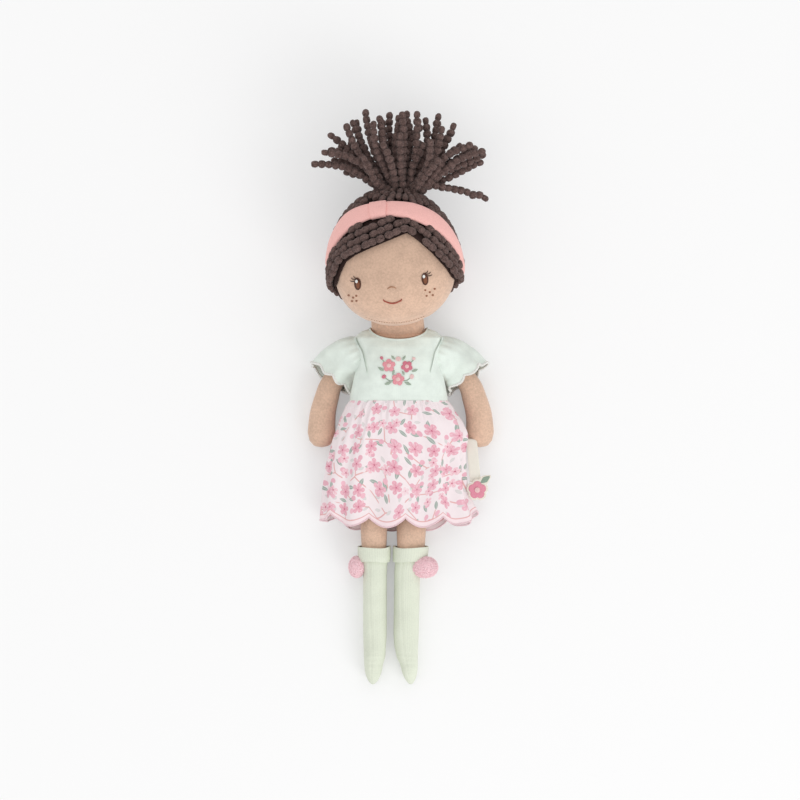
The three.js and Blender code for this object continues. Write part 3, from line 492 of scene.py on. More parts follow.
@dataclass
class Path:
    """A smooth curve through places, read by shares of its length."""

    places: Sequence[Vector]
    reaches: list[float] = field(default_factory=list, init=False)

    def __post_init__(self) -> None:
        """Measures how far along the curve each of its stations lies."""
        count = max(60, 5 * len(self.places))
        stations = [self.spline(i / count) for i in range(count + 1)]
        self.reaches = [0.0]
        for before, after in zip(stations, stations[1:]):
            self.reaches.append(self.reaches[-1] + (after - before).length)

    def spline(self, share: float) -> Vector:
        """The point of a Catmull-Rom spline at a share of its places.

        Args:
            share: The share of the places.

        Returns:
            The point.
        """
        count = len(self.places) - 1
        scaled = min(max(share, 0.0), 1.0) * count
        index = min(int(scaled), count - 1)
        part = scaled - index
        before = self.places[max(index - 1, 0)]
        low, high = self.places[index], self.places[index + 1]
        after = self.places[min(index + 2, count)]
        return 0.5 * ((2 * low) + (high - before) * part + (2 * before - 5 * low + 4 * high - after) * part ** 2
                      + (3 * low - before - 3 * high + after) * part ** 3)

    def at(self, share: float) -> Vector:
        """The point at a share of the curve's length.

        Args:
            share: The share of the length; it is held between 0 and 1.

        Returns:
            The point.
        """
        count = len(self.reaches) - 1
        goal = min(max(share, 0.0), 1.0) * self.reaches[-1]
        index = min(max(bisect.bisect_right(self.reaches, goal) - 1, 0), count - 1)
        low, high = self.reaches[index], self.reaches[index + 1]
        part = (goal - low) / (high - low) if high > low else 0.0
        return self.spline((index + part) / count)

    def along(self, share: float) -> Vector:
        """The direction of the curve at a share."""
        return (self.at(share + 0.01) - self.at(share - 0.01)).normalized()

    def length(self) -> float:
        """The length of the curve."""
        return self.reaches[-1]


def cross_axes(along: Vector, upward: Vector = Vector((0, 0, 1))) -> tuple[Vector, Vector]:
    """Two directions square to a line: one level, and one as near to upward as it can be.

    Args:
        along: The line's direction.
        upward: The way that the second direction leans to.

    Returns:
        The level direction and the upward one.
    """
    across = along.cross(upward)
    if across.length < MERGE_REACH:
        across = Vector((1, 0, 0))
    across.normalize()
    return across, across.cross(along).normalized()


def add_tube(bm: bmesh.types.BMesh, path: Path, radius: Callable[[float], float] | float, steps: int,
             sides: int = 8) -> None:
    """Adds a closed tube of thread along a path to a mesh.

    Args:
        bm: The mesh that takes the tube.
        path: The line it follows.
        radius: Its radius, or the radius at each share of the path.
        steps: Rings along it.
        sides: Points round it.
    """

    def place(u: float, v: float) -> Vector:
        """The point of the tube; its two ends are drawn together.

        Args:
            u: The share round it.
            v: The share along it, its ends included.

        Returns:
            The point.
        """
        at = min(max((v * (steps + 2) - 1) / steps, 0.0), 1.0)
        across, upward = cross_axes(path.along(at))
        wide = radius(at) if callable(radius) else radius
        if v in (0.0, 1.0):
            wide = 0.0
        angle = u * TAU
        return path.at(at) + across * (wide * math.cos(angle)) + upward * (wide * math.sin(angle))

    merge_into(bm, surface(sides, steps + 2, place))


def layer_at(v: float, rows: int) -> tuple[bool, float]:
    """Tells where a row of a closed cloth of two layers lies.

    Args:
        v: The share of the way down the outer layer and back up the inner one.
        rows: The rows of both layers.

    Returns:
        Whether it is in the outer layer, and its share from the top of its layer to the foot.
    """
    outer = (rows + 1) // 2
    row = round(v * rows)
    if row < outer or row == rows:
        return True, (row % rows) / (outer - 1)
    return False, (rows - 1 - row) / (rows - outer - 1)


def merge_into(bm: bmesh.types.BMesh, other: bmesh.types.BMesh) -> None:
    """Adds another mesh to a mesh, and frees the other.

    Args:
        bm: The mesh that takes it.
        other: The mesh that is added.
    """
    mesh = bpy.data.meshes.new("part")
    other.to_mesh(mesh)
    other.free()
    bm.from_mesh(mesh)
    bpy.data.meshes.remove(mesh)


@dataclass(frozen=True)
class Plush:
    """Short, soft pile, as on the doll's skin."""

    name: str
    colour: Colour
    pile: float = 0.45 * MM
    depth: float = 0.16 * MM
    mottle: float = 0.08
    sheen: float = 0.35
    # The brow's middle, and the factor of painted shade that darkens the skin near it.
    brow: tuple[float, float, float] = (-5 * MM, 68 * MM, 50 * MM)
    brow_shade: float = 0.86

    def build(self) -> bpy.types.Material:
        """Makes the material: fine pile over faint brushed clouds of a darker and a lighter tone, with painted shade
        that darkens the brow.

        Returns:
            The material.
        """
        shader = Shader(self.name)
        place = shader.place()
        pile = shader.noise(place, self.pile, 2.0, 0.6)
        brushed = shader.noise(place, 9 * MM, 3.0, 0.55)
        tufts = shader.noise(place, 1.3 * MM, 2.0, 0.6)
        tone = (brushed * 0.35 + tufts * 0.45 + pile * 0.2).step(0.34, 0.66)
        height = pile * 0.6 + tufts * 0.4
        # Painted shade: both tones of the pile grow darker towards the brow.
        away = shader.vector_math("DISTANCE", place, self.brow, "Value").step(10 * MM, 44 * MM)
        ends = (toned(self.colour, 1 - 1.9 * self.mottle), toned(self.colour, 1 + 1.3 * self.mottle))
        dark_tone, bloom = (shader.two_tone(away, end, self.brow_shade, 1.0) for end in ends)
        return shader.finish(shader.blend(tone, dark_tone, bloom), shader.bump(height, self.depth), 0.95, self.sheen, 0.1)


@dataclass(frozen=True)
class Chenille:
    """Fuzzy chenille yarn, with painted shade between its tufts and a painted highlight on them."""

    name: str
    colour: Colour
    # The colour of the painted shade between the tufts.
    deep: Colour
    fuzz: float = 0.55 * MM
    depth: float = 0.5 * MM

    def build(self) -> bpy.types.Material:
        """Makes the material: tufts of pile with painted shade in the gaps and a painted highlight on the tufts.

        Returns:
            The material.
        """
        shader = Shader(self.name)
        place = shader.place()
        tufts = shader.noise(place, self.fuzz, 2.0, 0.65)
        clumps = shader.noise(place, 1.9 * MM, 2.0, 0.6)
        tone = (tufts * 0.6 + clumps * 0.4).step(0.33, 0.68)
        # Painted shade: where the bump is low, between the tufts, the yarn takes the deep colour.
        body = shader.blend(tone, self.deep, self.colour)
        # Painted highlight: the highest tufts are lightened.
        lit = shader.blend(tufts.step(0.55, 0.8) * 0.6, body, toned(self.colour, 1.45))
        return shader.finish(lit, shader.bump(tufts * 0.7 + clumps * 0.3, self.depth), 0.97, 0.12, 0.1)


@dataclass(frozen=True)
class FineKnit:
    """Fine jersey: tiny columns of stitches on the cloth's UV map."""

    name: str
    colour: Colour
    column: float = 0.55 * MM
    course: float = 0.4 * MM
    depth: float = 0.07 * MM
    crease: float = 0.0
    sheen: float = 0.15

    def build(self) -> bpy.types.Material:
        """Makes the material: columns of stitches, a faint tone of the yarn and soft creases.

        Returns:
            The material.
        """
        shader = Shader(self.name)
        u, v, _ = shader.parts(shader.place("UV"))
        solid = shader.place()
        columns = u.waves(self.column)
        courses = (v * (TAU / self.course) + columns * 1.2).sine().lifted()
        stitches = columns.lifted() * 0.6 + courses * 0.4
        cloud = shader.noise(solid, 7 * MM, 2.0)
        fibre = shader.noise(solid, 0.35 * MM, 1.0)
        tone = (stitches * 0.1 + cloud * 0.6 + fibre * 0.3).step(0.25, 0.75)
        normal = shader.bump(stitches * 0.3 + fibre * 0.7, self.depth)
        if self.crease:
            drawn = shader.vector_math("MULTIPLY", solid, (1.0, 0.45, 1.0))
            normal = shader.bump(shader.noise(drawn, 11 * MM, 1.5, 0.45), self.crease, normal)
        return shader.finish(shader.two_tone(tone, self.colour, 0.88, 1.05), normal, 0.92, self.sheen, 0.15)


@dataclass(frozen=True)
class RibKnit:
    """Ribbed knit of the socks: raised wales that run down the leg."""

    name: str
    colour: Colour
    rib: float = 1.25 * MM
    course: float = 0.62 * MM
    depth: float = 0.09 * MM

    def build(self) -> bpy.types.Material:
        """Makes the material: wales with short stitches in them and a slight heather.

        Returns:
            The material.
        """
        shader = Shader(self.name)
        u, v, _ = shader.parts(shader.place("UV"))
        solid = shader.place()
        wales = u.waves(self.rib).lifted() ** 0.7
        stitches = (v * (TAU / self.course) + (u * (TAU / self.rib)).cosine() * 1.1).sine().lifted()
        heather = shader.noise(solid, 0.8 * MM, 2.0, 0.6)
        cloud = shader.noise(solid, 12 * MM, 1.0)
        tone = (wales * 0.12 + stitches * 0.14 + heather * 0.4 + cloud * 0.34).step(0.15, 0.75)
        normal = shader.bump(wales * 0.4 + stitches * 0.25 + heather * 0.35, self.depth)
        return shader.finish(shader.two_tone(tone, self.colour, 0.87, 1.07), normal, 0.95, 0.2, 0.12)


@dataclass(frozen=True)
class Felt:
    """Pressed felt or napped cloth with short crossing fibres."""

    name: str
    colour: Colour
    fibre: float = 0.4 * MM
    depth: float = 0.1 * MM

    def build(self) -> bpy.types.Material:
        """Makes the material: matted fibres in two tones.

        Returns:
            The material.
        """
        shader = Shader(self.name)
        place = shader.place()
        fibres, crossing = (shader.noise(shader.vector_math("MULTIPLY", place, drawn), self.fibre * 2, 3.0, 0.7)
                            for drawn in ((1.0, 2.4, 1.0), (2.4, 1.0, 1.0)))
        height = fibres.maximum(crossing)
        tone = shader.two_tone(height.step(0.4, 0.75), self.colour, 0.82, 1.08)
        return shader.finish(tone, shader.bump(height, self.depth), 0.97, 0.2, 0.1)


@dataclass(frozen=True)
class Thread:
    """Satin stitches of embroidery thread that lie side by side."""

    name: str
    colour: Colour
    lay_degrees: float = 60.0
    strand: float = 0.32 * MM
    depth: float = 0.09 * MM
    gloss: float = 0.55

    def build(self) -> bpy.types.Material:
        """Makes the material: fine slanted strands with painted shade in the gaps between them and painted light on
        their crests.

        Returns:
            The material.
        """
        shader = Shader(self.name)
        x, y, _ = shader.parts(shader.place())
        turn = math.radians(self.lay_degrees)
        across = x * math.cos(turn) + y * math.sin(turn)
        wobble = shader.noise(shader.place(), 1.4 * MM) * (0.6 * TAU)
        strands = (across * (TAU / self.strand) + wobble).sine().lifted()
        # Painted shade in the gaps between the strands, and painted light on their crests.
        tone = shader.two_tone(strands.step(0.05, 0.7), self.colour, 0.72, 1.1)
        return shader.finish(tone, shader.bump(strands, self.depth), self.gloss, 0.1, 0.35)


@dataclass(frozen=True)
class Ribbon:
    """A woven tape with a fine rib across it."""

    name: str
    colour: Colour
    rib: float = 0.5 * MM
    depth: float = 0.06 * MM

    def build(self) -> bpy.types.Material:
        """Makes the material: ribs across the tape and the warp between them.

        Returns:
            The material.
        """
        shader = Shader(self.name)
        x, y, _ = shader.parts(shader.place())
        ribs, warp = y.waves(self.rib).lifted(), x.waves(self.rib * 0.7).lifted()
        cloud = shader.noise(shader.place(), 3 * MM)
        tone = shader.two_tone((ribs * 0.5 + warp * 0.2 + cloud * 0.3).step(0.2, 0.7), self.colour, 0.88, 1.0)
        return shader.finish(tone, shader.bump(ribs + warp * 0.4, self.depth), 0.8, 0.1, 0.3)


@dataclass(frozen=True)
class DitsyPrint:
    """Cotton printed with a loose scatter of small blossoms, buds, leaves and stems."""

    name: str
    ground: Colour
    petal: Colour
    petal_deep: Colour
    pale_petal: Colour
    bud: Colour
    leaf: Colour
    stem: Colour
    heart: Colour
    border: Colour
    cell: float = 12.2 * MM
    border_top: float = 2.4 * MM
    weave: float = 0.32 * MM
    unevenness: float = 0.34
    petals: int = 5

    def scatter(self, shader: Shader, plane: Value, size: float, shift: float) -> tuple[Value, Value, Value]:
        """Cuts the cloth into uneven cells.

        Args:
            shader: The material.
            plane: The place on the flat cloth.
            size: The usual width of a cell.
            shift: Moves the cells of this layer off the others.

        Returns:
            The distance from the cell's middle, the angle about it, and a random value of the cell.
        """
        moved = shader.vector_math("ADD", plane, (shift, shift * 0.7, 0.0))
        cells = shader.node("ShaderNodeTexVoronoi", {"voronoi_dimensions": "2D", "feature": "F1"},
                            {"Vector": moved, "Scale": 1 / size, "Randomness": self.unevenness}, "Position")
        x, y, _ = shader.parts(shader.vector_math("SUBTRACT", moved, cells))
        reach = (x * x + y * y).root()
        random_value, _, _ = shader.parts(Value(shader, cells.socket.node.outputs["Color"]))
        angle = shader.node("ShaderNodeMath", {"operation": "ARCTAN2"}, {0: y, 1: x}) + random_value * TAU
        return reach, angle, random_value

    def build(self) -> bpy.types.Material:
        """Makes the material: four scattered layers over the ground, then the border at the hem.

        Returns:
            The material.
        """
        shader = Shader(self.name)
        cloth = shader.place("UV")
        drift = shader.noise(cloth, 6 * MM, 1.0) * (0.5 * MM) + shader.noise(cloth, 42 * MM, 0.0) * (12 * MM)
        plane = shader.vector_math("ADD", cloth, drift)
        u, drop, _ = shader.parts(cloth)
        paint = shader.two_tone(shader.noise(shader.place(), 8 * MM), self.ground, 0.96, 1.0)
        paint = shader.blend(self.stems(shader, plane), paint, self.stem)
        paint = self.leaves(shader, plane, paint)

        reach, angle, chance = self.scatter(shader, plane, self.cell * 0.62, 0.013)
        buds = (reach / ((angle * 0.5).cosine().absolute() * (1.3 * MM) + 0.75 * MM)).step(1.03, 0.93)
        paint = shader.blend(buds * chance.step(0.52, 0.54), paint, shader.blend(chance, self.bud, self.petal))

        for share, shift, long, low, least, tint in (
            (0.8, 0.021, 1.9 * MM, 1.1 * MM, 0.6, self.pale_petal),
            (1.0, 0.0, 2.6 * MM, 1.6 * MM, 0.24, None),
        ):
            reach, angle, chance = self.scatter(shader, plane, self.cell * share, shift)
            edge = (angle * (self.petals / 2)).cosine().absolute() ** 0.5 * long + low
            petal = tint or shader.blend(chance, self.petal, self.petal_deep)
            paint = self.blossom(shader, paint, (reach, angle, edge), chance.step(least, least + 0.02), petal)

        hem = drop.step(self.border_top + 0.1 * MM, self.border_top - 0.1 * MM)
        line = (drop - self.border_top).absolute().step(0.42 * MM, 0.2 * MM)
        paint = shader.blend(line * 0.8, shader.blend(hem, paint, self.border), self.stem)
        weave = (u.waves(self.weave) + drop.waves(self.weave)) * 0.25 + 0.5
        worn = shader.blend(weave * 0.14, paint, toned(self.ground, 0.72))
        folds = shader.noise(shader.vector_math("MULTIPLY", cloth, (1.0, 0.35, 1.0)), 5 * MM, 1.0, 0.5)
        normal = shader.bump(folds, 0.35 * MM, shader.bump(weave, 0.05 * MM))
        return shader.finish(worn, normal, 0.88, 0.1, 0.2)

    def stems(self, shader: Shader, plane: Value) -> Value:
        """Where the broken lines of the stems run on the flat cloth.

        Args:
            shader: The material.
            plane: The place on the flat cloth.

        Returns:
            How strongly they show.
        """
        tangle = shader.node("ShaderNodeTexVoronoi", {"voronoi_dimensions": "2D", "feature": "DISTANCE_TO_EDGE"},
                             {"Vector": plane, "Scale": 1 / (self.cell * 1.5), "Randomness": 0.9})
        return tangle.step(0.026, 0.013) * shader.noise(plane, 7 * MM, 0.0).step(0.46, 0.52) * 0.85

    def leaves(self, shader: Shader, plane: Value, paint: Value) -> Value:
        """Paints faint leaves, and full ones with a pale vein, over what is there.

        Args:
            shader: The material.
            plane: The place on the flat cloth.
            paint: The colour under them.

        Returns:
            The new colour.
        """
        reach, angle, chance = self.scatter(shader, plane, self.cell * 0.62, 0.004)
        ghost = self.leaf_shape(reach, angle, 2.1 * MM, 1.05 * MM) * chance.step(0.42, 0.4)
        paint = shader.blend(ghost * 0.32, paint, self.leaf)
        full = self.leaf_shape(reach, angle, 3.0 * MM, 1.1 * MM) * chance.step(0.46, 0.48)
        vein = (angle.sine().absolute() * reach).step(0.1 * MM, 0.26 * MM)
        return shader.blend(full, paint, shader.blend(vein * 0.4 + 0.6, self.ground, self.leaf))

    def leaf_shape(self, reach: Value, angle: Value, half_length: float, half_width: float) -> Value:
        """Where a pointed leaf lies about the middle of its cell."""
        along, across = reach * angle.cosine() / half_length, (reach * angle.sine()).absolute() / half_width
        return (across + along * along).step(1.04, 0.92)

    def blossom(self, shader: Shader, paint: Value, place: tuple[Value, Value, Value], shown: Value,
                petal: "Value | Colour") -> Value:
        """Paints a blossom with cut petals, fine veins and a dark heart over what is there.

        Args:
            shader: The material.
            paint: The colour under it.
            place: The distance from its middle, the angle about it, and how far its edge reaches there.
            shown: 1 where the cell has a blossom, or else 0.
            petal: The colour of its petals.

        Returns:
            The new colour.
        """
        reach, angle, edge = place
        out = reach / edge
        inside = out.step(1.02, 0.94) * shown
        painted = shader.blend(inside, paint, petal)
        painted = shader.blend(out.step(0.78, 0.95) * inside * 0.3, painted, self.petal_deep)
        veins = (angle * (self.petals / 2)).cosine().absolute().step(0.9, 0.995) * out.step(0.75, 0.5)
        painted = shader.blend(veins * inside * 0.5, painted, self.heart)
        hatch = (angle * (self.petals * 3)).cosine().step(0.1, 0.8) * out.step(0.32, 0.5) * out.step(0.92, 0.8)
        painted = shader.blend(hatch * inside * 0.4, painted, self.ground)
        return shader.blend(reach.step(0.62 * MM, 0.42 * MM) * inside, painted, self.heart)


def finishes() -> Finishes:
    """Makes every finish of the doll once.

    Returns:
        The materials by a plain name.
    """
    plush = shade(216, 183, 160)
    kinds = (
        Plush("skin_plush", plush),
        Chenille("brown_yarn", shade(121, 99, 94), shade(66, 52, 49)),
        Plush("hair_cloth", shade(62, 47, 44), mottle=0.12, sheen=0.0),
        Felt("band_velour", shade(254, 194, 187), 0.3 * MM, 0.08 * MM),
        FineKnit("mint_jersey", shade(227, 236, 228), crease=0.55 * MM),
        FineKnit("mint_binding", shade(222, 231, 223), 0.5 * MM, 0.35 * MM, 0.08 * MM),
        RibKnit("sock_knit", shade(218, 223, 206)),
        Felt("pompom_yarn", shade(255, 216, 222), 0.3 * MM, 0.12 * MM),
        Ribbon("side_tape", shade(240, 236, 224)),
        Felt("cream_felt", shade(240, 233, 220)),
        Felt("rose_felt", shade(228, 150, 168)),
        Felt("sage_felt", shade(148, 166, 150)),
        Thread("brown_thread", shade(84, 46, 28), 80),
        Thread("iris_thread", shade(132, 78, 48), 80),
        Thread("lash_thread", shade(62, 40, 30), 20),
        Thread("white_thread", shade(246, 246, 240), 25),
        Thread("lip_thread", shade(170, 84, 66), 75),
        Thread("nose_thread", shade(176, 128, 98), 75, gloss=0.8),
        Thread("freckle_thread", shade(150, 98, 70), 45),
        Thread("rose_thread", shade(222, 128, 146), 40),
        Thread("pink_thread", shade(238, 158, 168), 110),
        Thread("pale_thread", shade(250, 208, 206), 75),
        Thread("sage_thread", shade(168, 184, 166), 55),
        Thread("hem_thread", shade(248, 214, 220), 20),
        DitsyPrint("ditsy_cotton", ground=shade(243, 231, 233), petal=shade(238, 186, 199),
                   petal_deep=shade(228, 162, 178), pale_petal=shade(240, 196, 205), bud=shade(208, 134, 154),
                   leaf=shade(154, 170, 160), stem=shade(222, 158, 156), heart=shade(196, 100, 126),
                   border=shade(246, 226, 229)),
    )
    return {kind.name: kind.build() for kind in kinds}


@dataclass
class TorsoForm:
    """The torso's rounded form, which the dress is fitted over.

    Each row of shares holds the distance from the waist, the width, the back and the front.
    """

    centre_x: float = -0.8 * MM
    half_width: float = 28.6 * MM
    depth: float = 37.4 * MM
    shoulder: float = 44 * MM
    hip: float = 42 * MM
    seam_gap: float = 0.35 * MM
    cloth: float = 0.8 * MM
    rest_flat: float = 0.5 * MM
    fullness: float = 2.6
    neckline_half_width: float = 17.5 * MM
    neckline_dip: float = 7.2 * MM
    upper_shares: tuple = ((0, 1, 0, 1), (0.27, 0.94, 0, 1.02), (0.5, 0.87, 0, 1.01), (0.72, 0.88, 0.01, 0.96),
                           (0.86, 0.93, 0.05, 0.9), (0.95, 0.78, 0.13, 0.8), (1, 0.55, 0.25, 0.66))
    lower_shares: tuple = ((0, 1, 0, 1), (0.2, 0.99, 0.015, 0.94), (0.5, 1, 0.015, 0.8), (0.78, 0.93, 0.03, 0.58),
                           (0.94, 0.84, 0.07, 0.42), (1, 0.7, 0.12, 0.34))

    def section(self, height: float, offset: float) -> tuple[float, float, float]:
        """The half width, the back and the front of the torso at a height over the waist, offset outwards.

        Args:
            height: The height over the waist.
            offset: How far outside the skin.

        Returns:
            The half width, the back and the front.
        """
        if height >= 0:
            width, back, front = read_table(self.upper_shares, height / self.shoulder)
        else:
            width, back, front = read_table(self.lower_shares, -height / self.hip)
        bottom = self.cloth + self.seam_gap - self.rest_flat
        return (width * self.half_width + offset, bottom + back * self.depth - offset,
                bottom + front * self.depth + offset)

    def point(self, u: float, height: float, offset: float = 0.0) -> Vector:
        """The point of the torso at a share round it and a height over the waist, offset outwards.

        Args:
            u: The share round it.
            height: The height over the waist.
            offset: How far outside the skin.

        Returns:
            The point, no lower than the cloth under the back.
        """
        half_width, back, front = self.section(height, offset)
        across, upward = rounded(u * TAU, self.fullness)
        z = (back + front) / 2 + upward * (front - back) / 2
        low = self.cloth + self.seam_gap - offset
        return Vector((self.centre_x + across * half_width, WAIST_Y + height, max(z, low)))

    def front(self, x: float, y: float, offset: float, side: int = 1) -> Vector:
        """The point of the chest, or of the back if side is -1, above a place seen from the front.

        Args:
            x: The place across.
            y: The place along the doll.
            offset: How far outside the skin.
            side: 1 for the chest, -1 for the back.

        Returns:
            The point.
        """
        height = min(max(y - WAIST_Y, -self.hip), self.shoulder)
        half_width, back, front = self.section(height, offset)
        across = min(abs(x - self.centre_x) / half_width, 1.0)
        rise = (1 - across ** self.fullness) ** (1 / self.fullness)
        return Vector((x, y, (back + front) / 2 + side * rise * (front - back) / 2))


TORSO = TorsoForm()


@dataclass
class ShoulderPlace:
    """Where an arm and its sleeve leave the torso."""

    side: Side
    spread: float = 23.5 * MM
    height: float = 27.4 * MM
    rise: float = 12.5 * MM
    armhole: float = 11.2 * MM
    splay_degrees: float = 12.7
    hem_lean: tuple[float, float] = (0.62, -0.78)

    @property
    def middle(self) -> Vector:
        """The middle of the armhole."""
        return Vector((TORSO.centre_x + self.side.value * self.spread, WAIST_Y + self.height, self.rise))

    @property
    def axis(self) -> Vector:
        """The direction that the arm leaves in, which it also swings about."""
        splay = math.radians(self.splay_degrees)
        return Vector((self.side.value * math.cos(splay), -math.sin(splay), 0))

    @property
    def start(self) -> Vector:
        """The middle of the arm's and the sleeve's inner end, just off the torso."""
        return self.middle + self.axis * TORSO.seam_gap

    @property
    def hem_axis(self) -> Vector:
        """The direction that the sleeve's hem faces."""
        return Vector((self.side.value * self.hem_lean[0], self.hem_lean[1], 0)).normalized()

    def depth(self, point: Vector, widen: float = 0.0) -> float:
        """How far a point lies inside the flaring room of the arm; negative where it is clear of it.

        Args:
            point: The point.
            widen: Makes the room wider.

        Returns:
            The depth, in metres.
        """
        away = point - self.middle
        along = away.dot(self.axis)
        spread = (away - self.axis * along).length
        return min(along, self.armhole + widen + max(along, 0.0) - spread)


SHOULDERS = {side: ShoulderPlace(side) for side in Side}


def trimmed(bm: bmesh.types.BMesh, depth: Callable[[Vector], float], slack: float = 2.5 * MM) -> bmesh.types.BMesh:
    """Cuts away the part of a sheet where a depth is above zero, and draws the new edge onto the cut.

    Args:
        bm: The sheet.
        depth: How far a point lies inside the cut.
        slack: The longest way that a vertex is drawn back.

    Returns:
        The trimmed sheet.
    """
    values = {vert: depth(vert.co) for vert in bm.verts}
    gone = [face for face in bm.faces if all(values[vert] > 0 for vert in face.verts)]
    bmesh.ops.delete(bm, geom=gone, context="FACES")
    stray = []
    for vert in [vert for vert in bm.verts if values[vert] > 0]:
        inside = [edge.other_vert(vert) for edge in vert.link_edges if values[edge.other_vert(vert)] <= 0]
        if not inside:
            stray.append(vert)
            continue
        places = [other.co.lerp(vert.co, -values[other] / (values[vert] - values[other])) for other in inside]
        vert.co = sum(places, Vector()) / len(places)
    for vert in stray:
        near = [edge.other_vert(vert).co for edge in vert.link_edges if edge.other_vert(vert) not in stray]
        if near:
            vert.co = sum(near, Vector()) / len(near)
    bmesh.ops.remove_doubles(bm, verts=bm.verts, dist=slack * 0.02)
    bmesh.ops.dissolve_degenerate(bm, edges=bm.edges, dist=1e-6)
    return bm


def lens(bm: bmesh.types.BMesh, middle: tuple[float, float], outline: Callable[[float], float], height: float,
         drape: Callable[[float, float, float], Vector], columns: int = 36, rows: int = 10,
         fullness: float = 3.0) -> None:
    """Adds a low closed pad with a free outline, laid on a surface.

    Args:
        bm: The mesh that takes it.
        middle: Its middle, seen from the front.
        outline: Its reach at each angle.
        height: How far it stands proud.
        drape: Gives the point over a place at a height.
        columns: Faces round it.
        rows: Faces from pole to pole.
        fullness: How square its rim is; 2 is a lens.
    """

    def place(u: float, v: float) -> Vector:
        """The point of the pad, from its back up over its front.

        Args:
            u: The share round it.
            v: The share from its back to its front.

        Returns:
            The point.
        """
        angle = u * TAU
        across, upward = rounded(v * math.pi - math.pi / 2, fullness)
        reach = outline(angle) * across
        rise = height * (upward * 0.5 + 0.5) if upward > 0 else height * 0.5 * (1 + upward)
        return drape(middle[0] + reach * math.cos(angle), middle[1] + reach * math.sin(angle), rise)

    merge_into(bm, surface(columns, rows, place))


def oval(half_width: float, half_height: float, lean_degrees: float = 0.0) -> Callable[[float], float]:
    """The reach of an oval at each angle.

    Args:
        half_width: Half its width.
        half_height: Half its height.
        lean_degrees: How far it leans.

    Returns:
        The function of the angle.
    """
    lean = math.radians(lean_degrees)

    def reach(angle: float) -> float:
        """The reach at an angle."""
        c, s = math.cos(angle - lean), math.sin(angle - lean)
        return half_width * half_height / math.hypot(half_height * c, half_width * s)

    return reach


def leaf(length: float, width: float, turn_degrees: float) -> Callable[[float], float]:
    """The reach of a pointed leaf about its middle at each angle.

    Args:
        length: Its length.
        width: Its width.
        turn_degrees: The way it points.

    Returns:
        The function of the angle.
    """
    turn = math.radians(turn_degrees)

    def reach(angle: float) -> float:
        """The reach at an angle."""
        c, s = abs(math.cos(angle - turn)), abs(math.sin(angle - turn))
        return 1 / ((c / (length / 2)) ** 1.25 + (s / (width / 2)) ** 1.25) ** (1 / 1.25)

    return reach


def petals(radius: float, count: int, turn_degrees: float, cut: float = 0.45) -> Callable[[float], float]:
    """The reach of a flower with round petals at each angle."""
    turn = math.radians(turn_degrees)
    return lambda angle: radius * (1 - cut + cut * abs(math.cos(count * (angle - turn) / 2)) ** 0.6)


@dataclass
class Torso(Maker):
    """The stuffed torso and the neck that stands in it."""

    neck_half_width: float = 16.9 * MM
    neck_half_depth: float = 10.8 * MM
    neck_joint: Vector = field(default_factory=lambda: Vector((-0.8 * MM, 20 * MM, 21 * MM)))
    neck_reach: float = 20 * MM
    neck_fullness: float = 2.2
    neck_rise: float = 5 * MM
    neck_foot: float = 0.4
    neck_top: float = 0.85
    end_share: float = 0.06
    skin_inset: float = 0.15 * MM
    tilt_degrees: float = 4.0

    def build(self, finish: Finishes) -> None:
        """Makes the torso and the neck in their finish, the torso flat where an arm leaves it.

        Args:
            finish: The doll's finishes.
        """
        bm = surface(72, 46, self.torso_point)
        for vert in bm.verts:
            for shoulder in SHOULDERS.values():
                if shoulder.depth(vert.co) > 0:
                    vert.co -= shoulder.axis * (vert.co - shoulder.middle).dot(shoulder.axis)
        self.stuffed("torso_stuffed", bm, finish["skin_plush"], "torso", 0.7)
        self.stuffed("neck_stuffed", surface(56, 30, self.neck_point), finish["skin_plush"], "neck", 0.8, "neck")

    def torso_point(self, u: float, v: float) -> Vector:
        """The torso's skin at two shares; both ends are drawn together.

        Args:
            u: The share round it.
            v: The share from the hips to the shoulders.

        Returns:
            The point.
        """
        height = mix(-TORSO.hip, TORSO.shoulder, eased(v, 0.3))
        shrink = smooth(min(v, 1 - v) / self.end_share)
        point = TORSO.point(u, height, -self.skin_inset)
        _, back, front = TORSO.section(height, 0.0)
        middle = Vector((TORSO.centre_x, WAIST_Y + height, (back + front) / 2))
        return middle.lerp(point, shrink)

    def neck_point(self, u: float, v: float) -> Vector:
        """The neck's skin: a rounded foot in the torso, a tube up into the head, and a closed end there.

        Args:
            u: The share round the neck.
            v: The share from its foot to its end.

        Returns:
            The point.
        """
        tilt = math.radians(self.tilt_degrees)
        line = Vector((-math.sin(tilt), math.cos(tilt), 0))
        across, upward = rounded(u * TAU, self.neck_fullness)

        def ring(size: float) -> Vector:
            """The way from the neck's middle to the point, on a section of a size."""
            return Vector((across * self.neck_half_width * size, 0, upward * self.neck_half_depth * size))

        if v < self.neck_foot:
            angle = (v / self.neck_foot) * math.pi / 2
            middle = self.neck_joint + Vector((0, -self.neck_half_depth * math.cos(angle), 0))
            return middle + ring(math.sin(angle))
        share = (v - self.neck_foot) / (1 - self.neck_foot)
        size = 1 - 0.05 * math.sin(share * math.pi)
        size *= max(1 - max(share - self.neck_top, 0) / (1 - self.neck_top), 0.0) ** 0.5
        rise = line * (self.neck_reach * min(share / self.neck_top, 1.0)) + Vector((0, 0, self.neck_rise * share))
        return self.neck_joint + rise + ring(size)


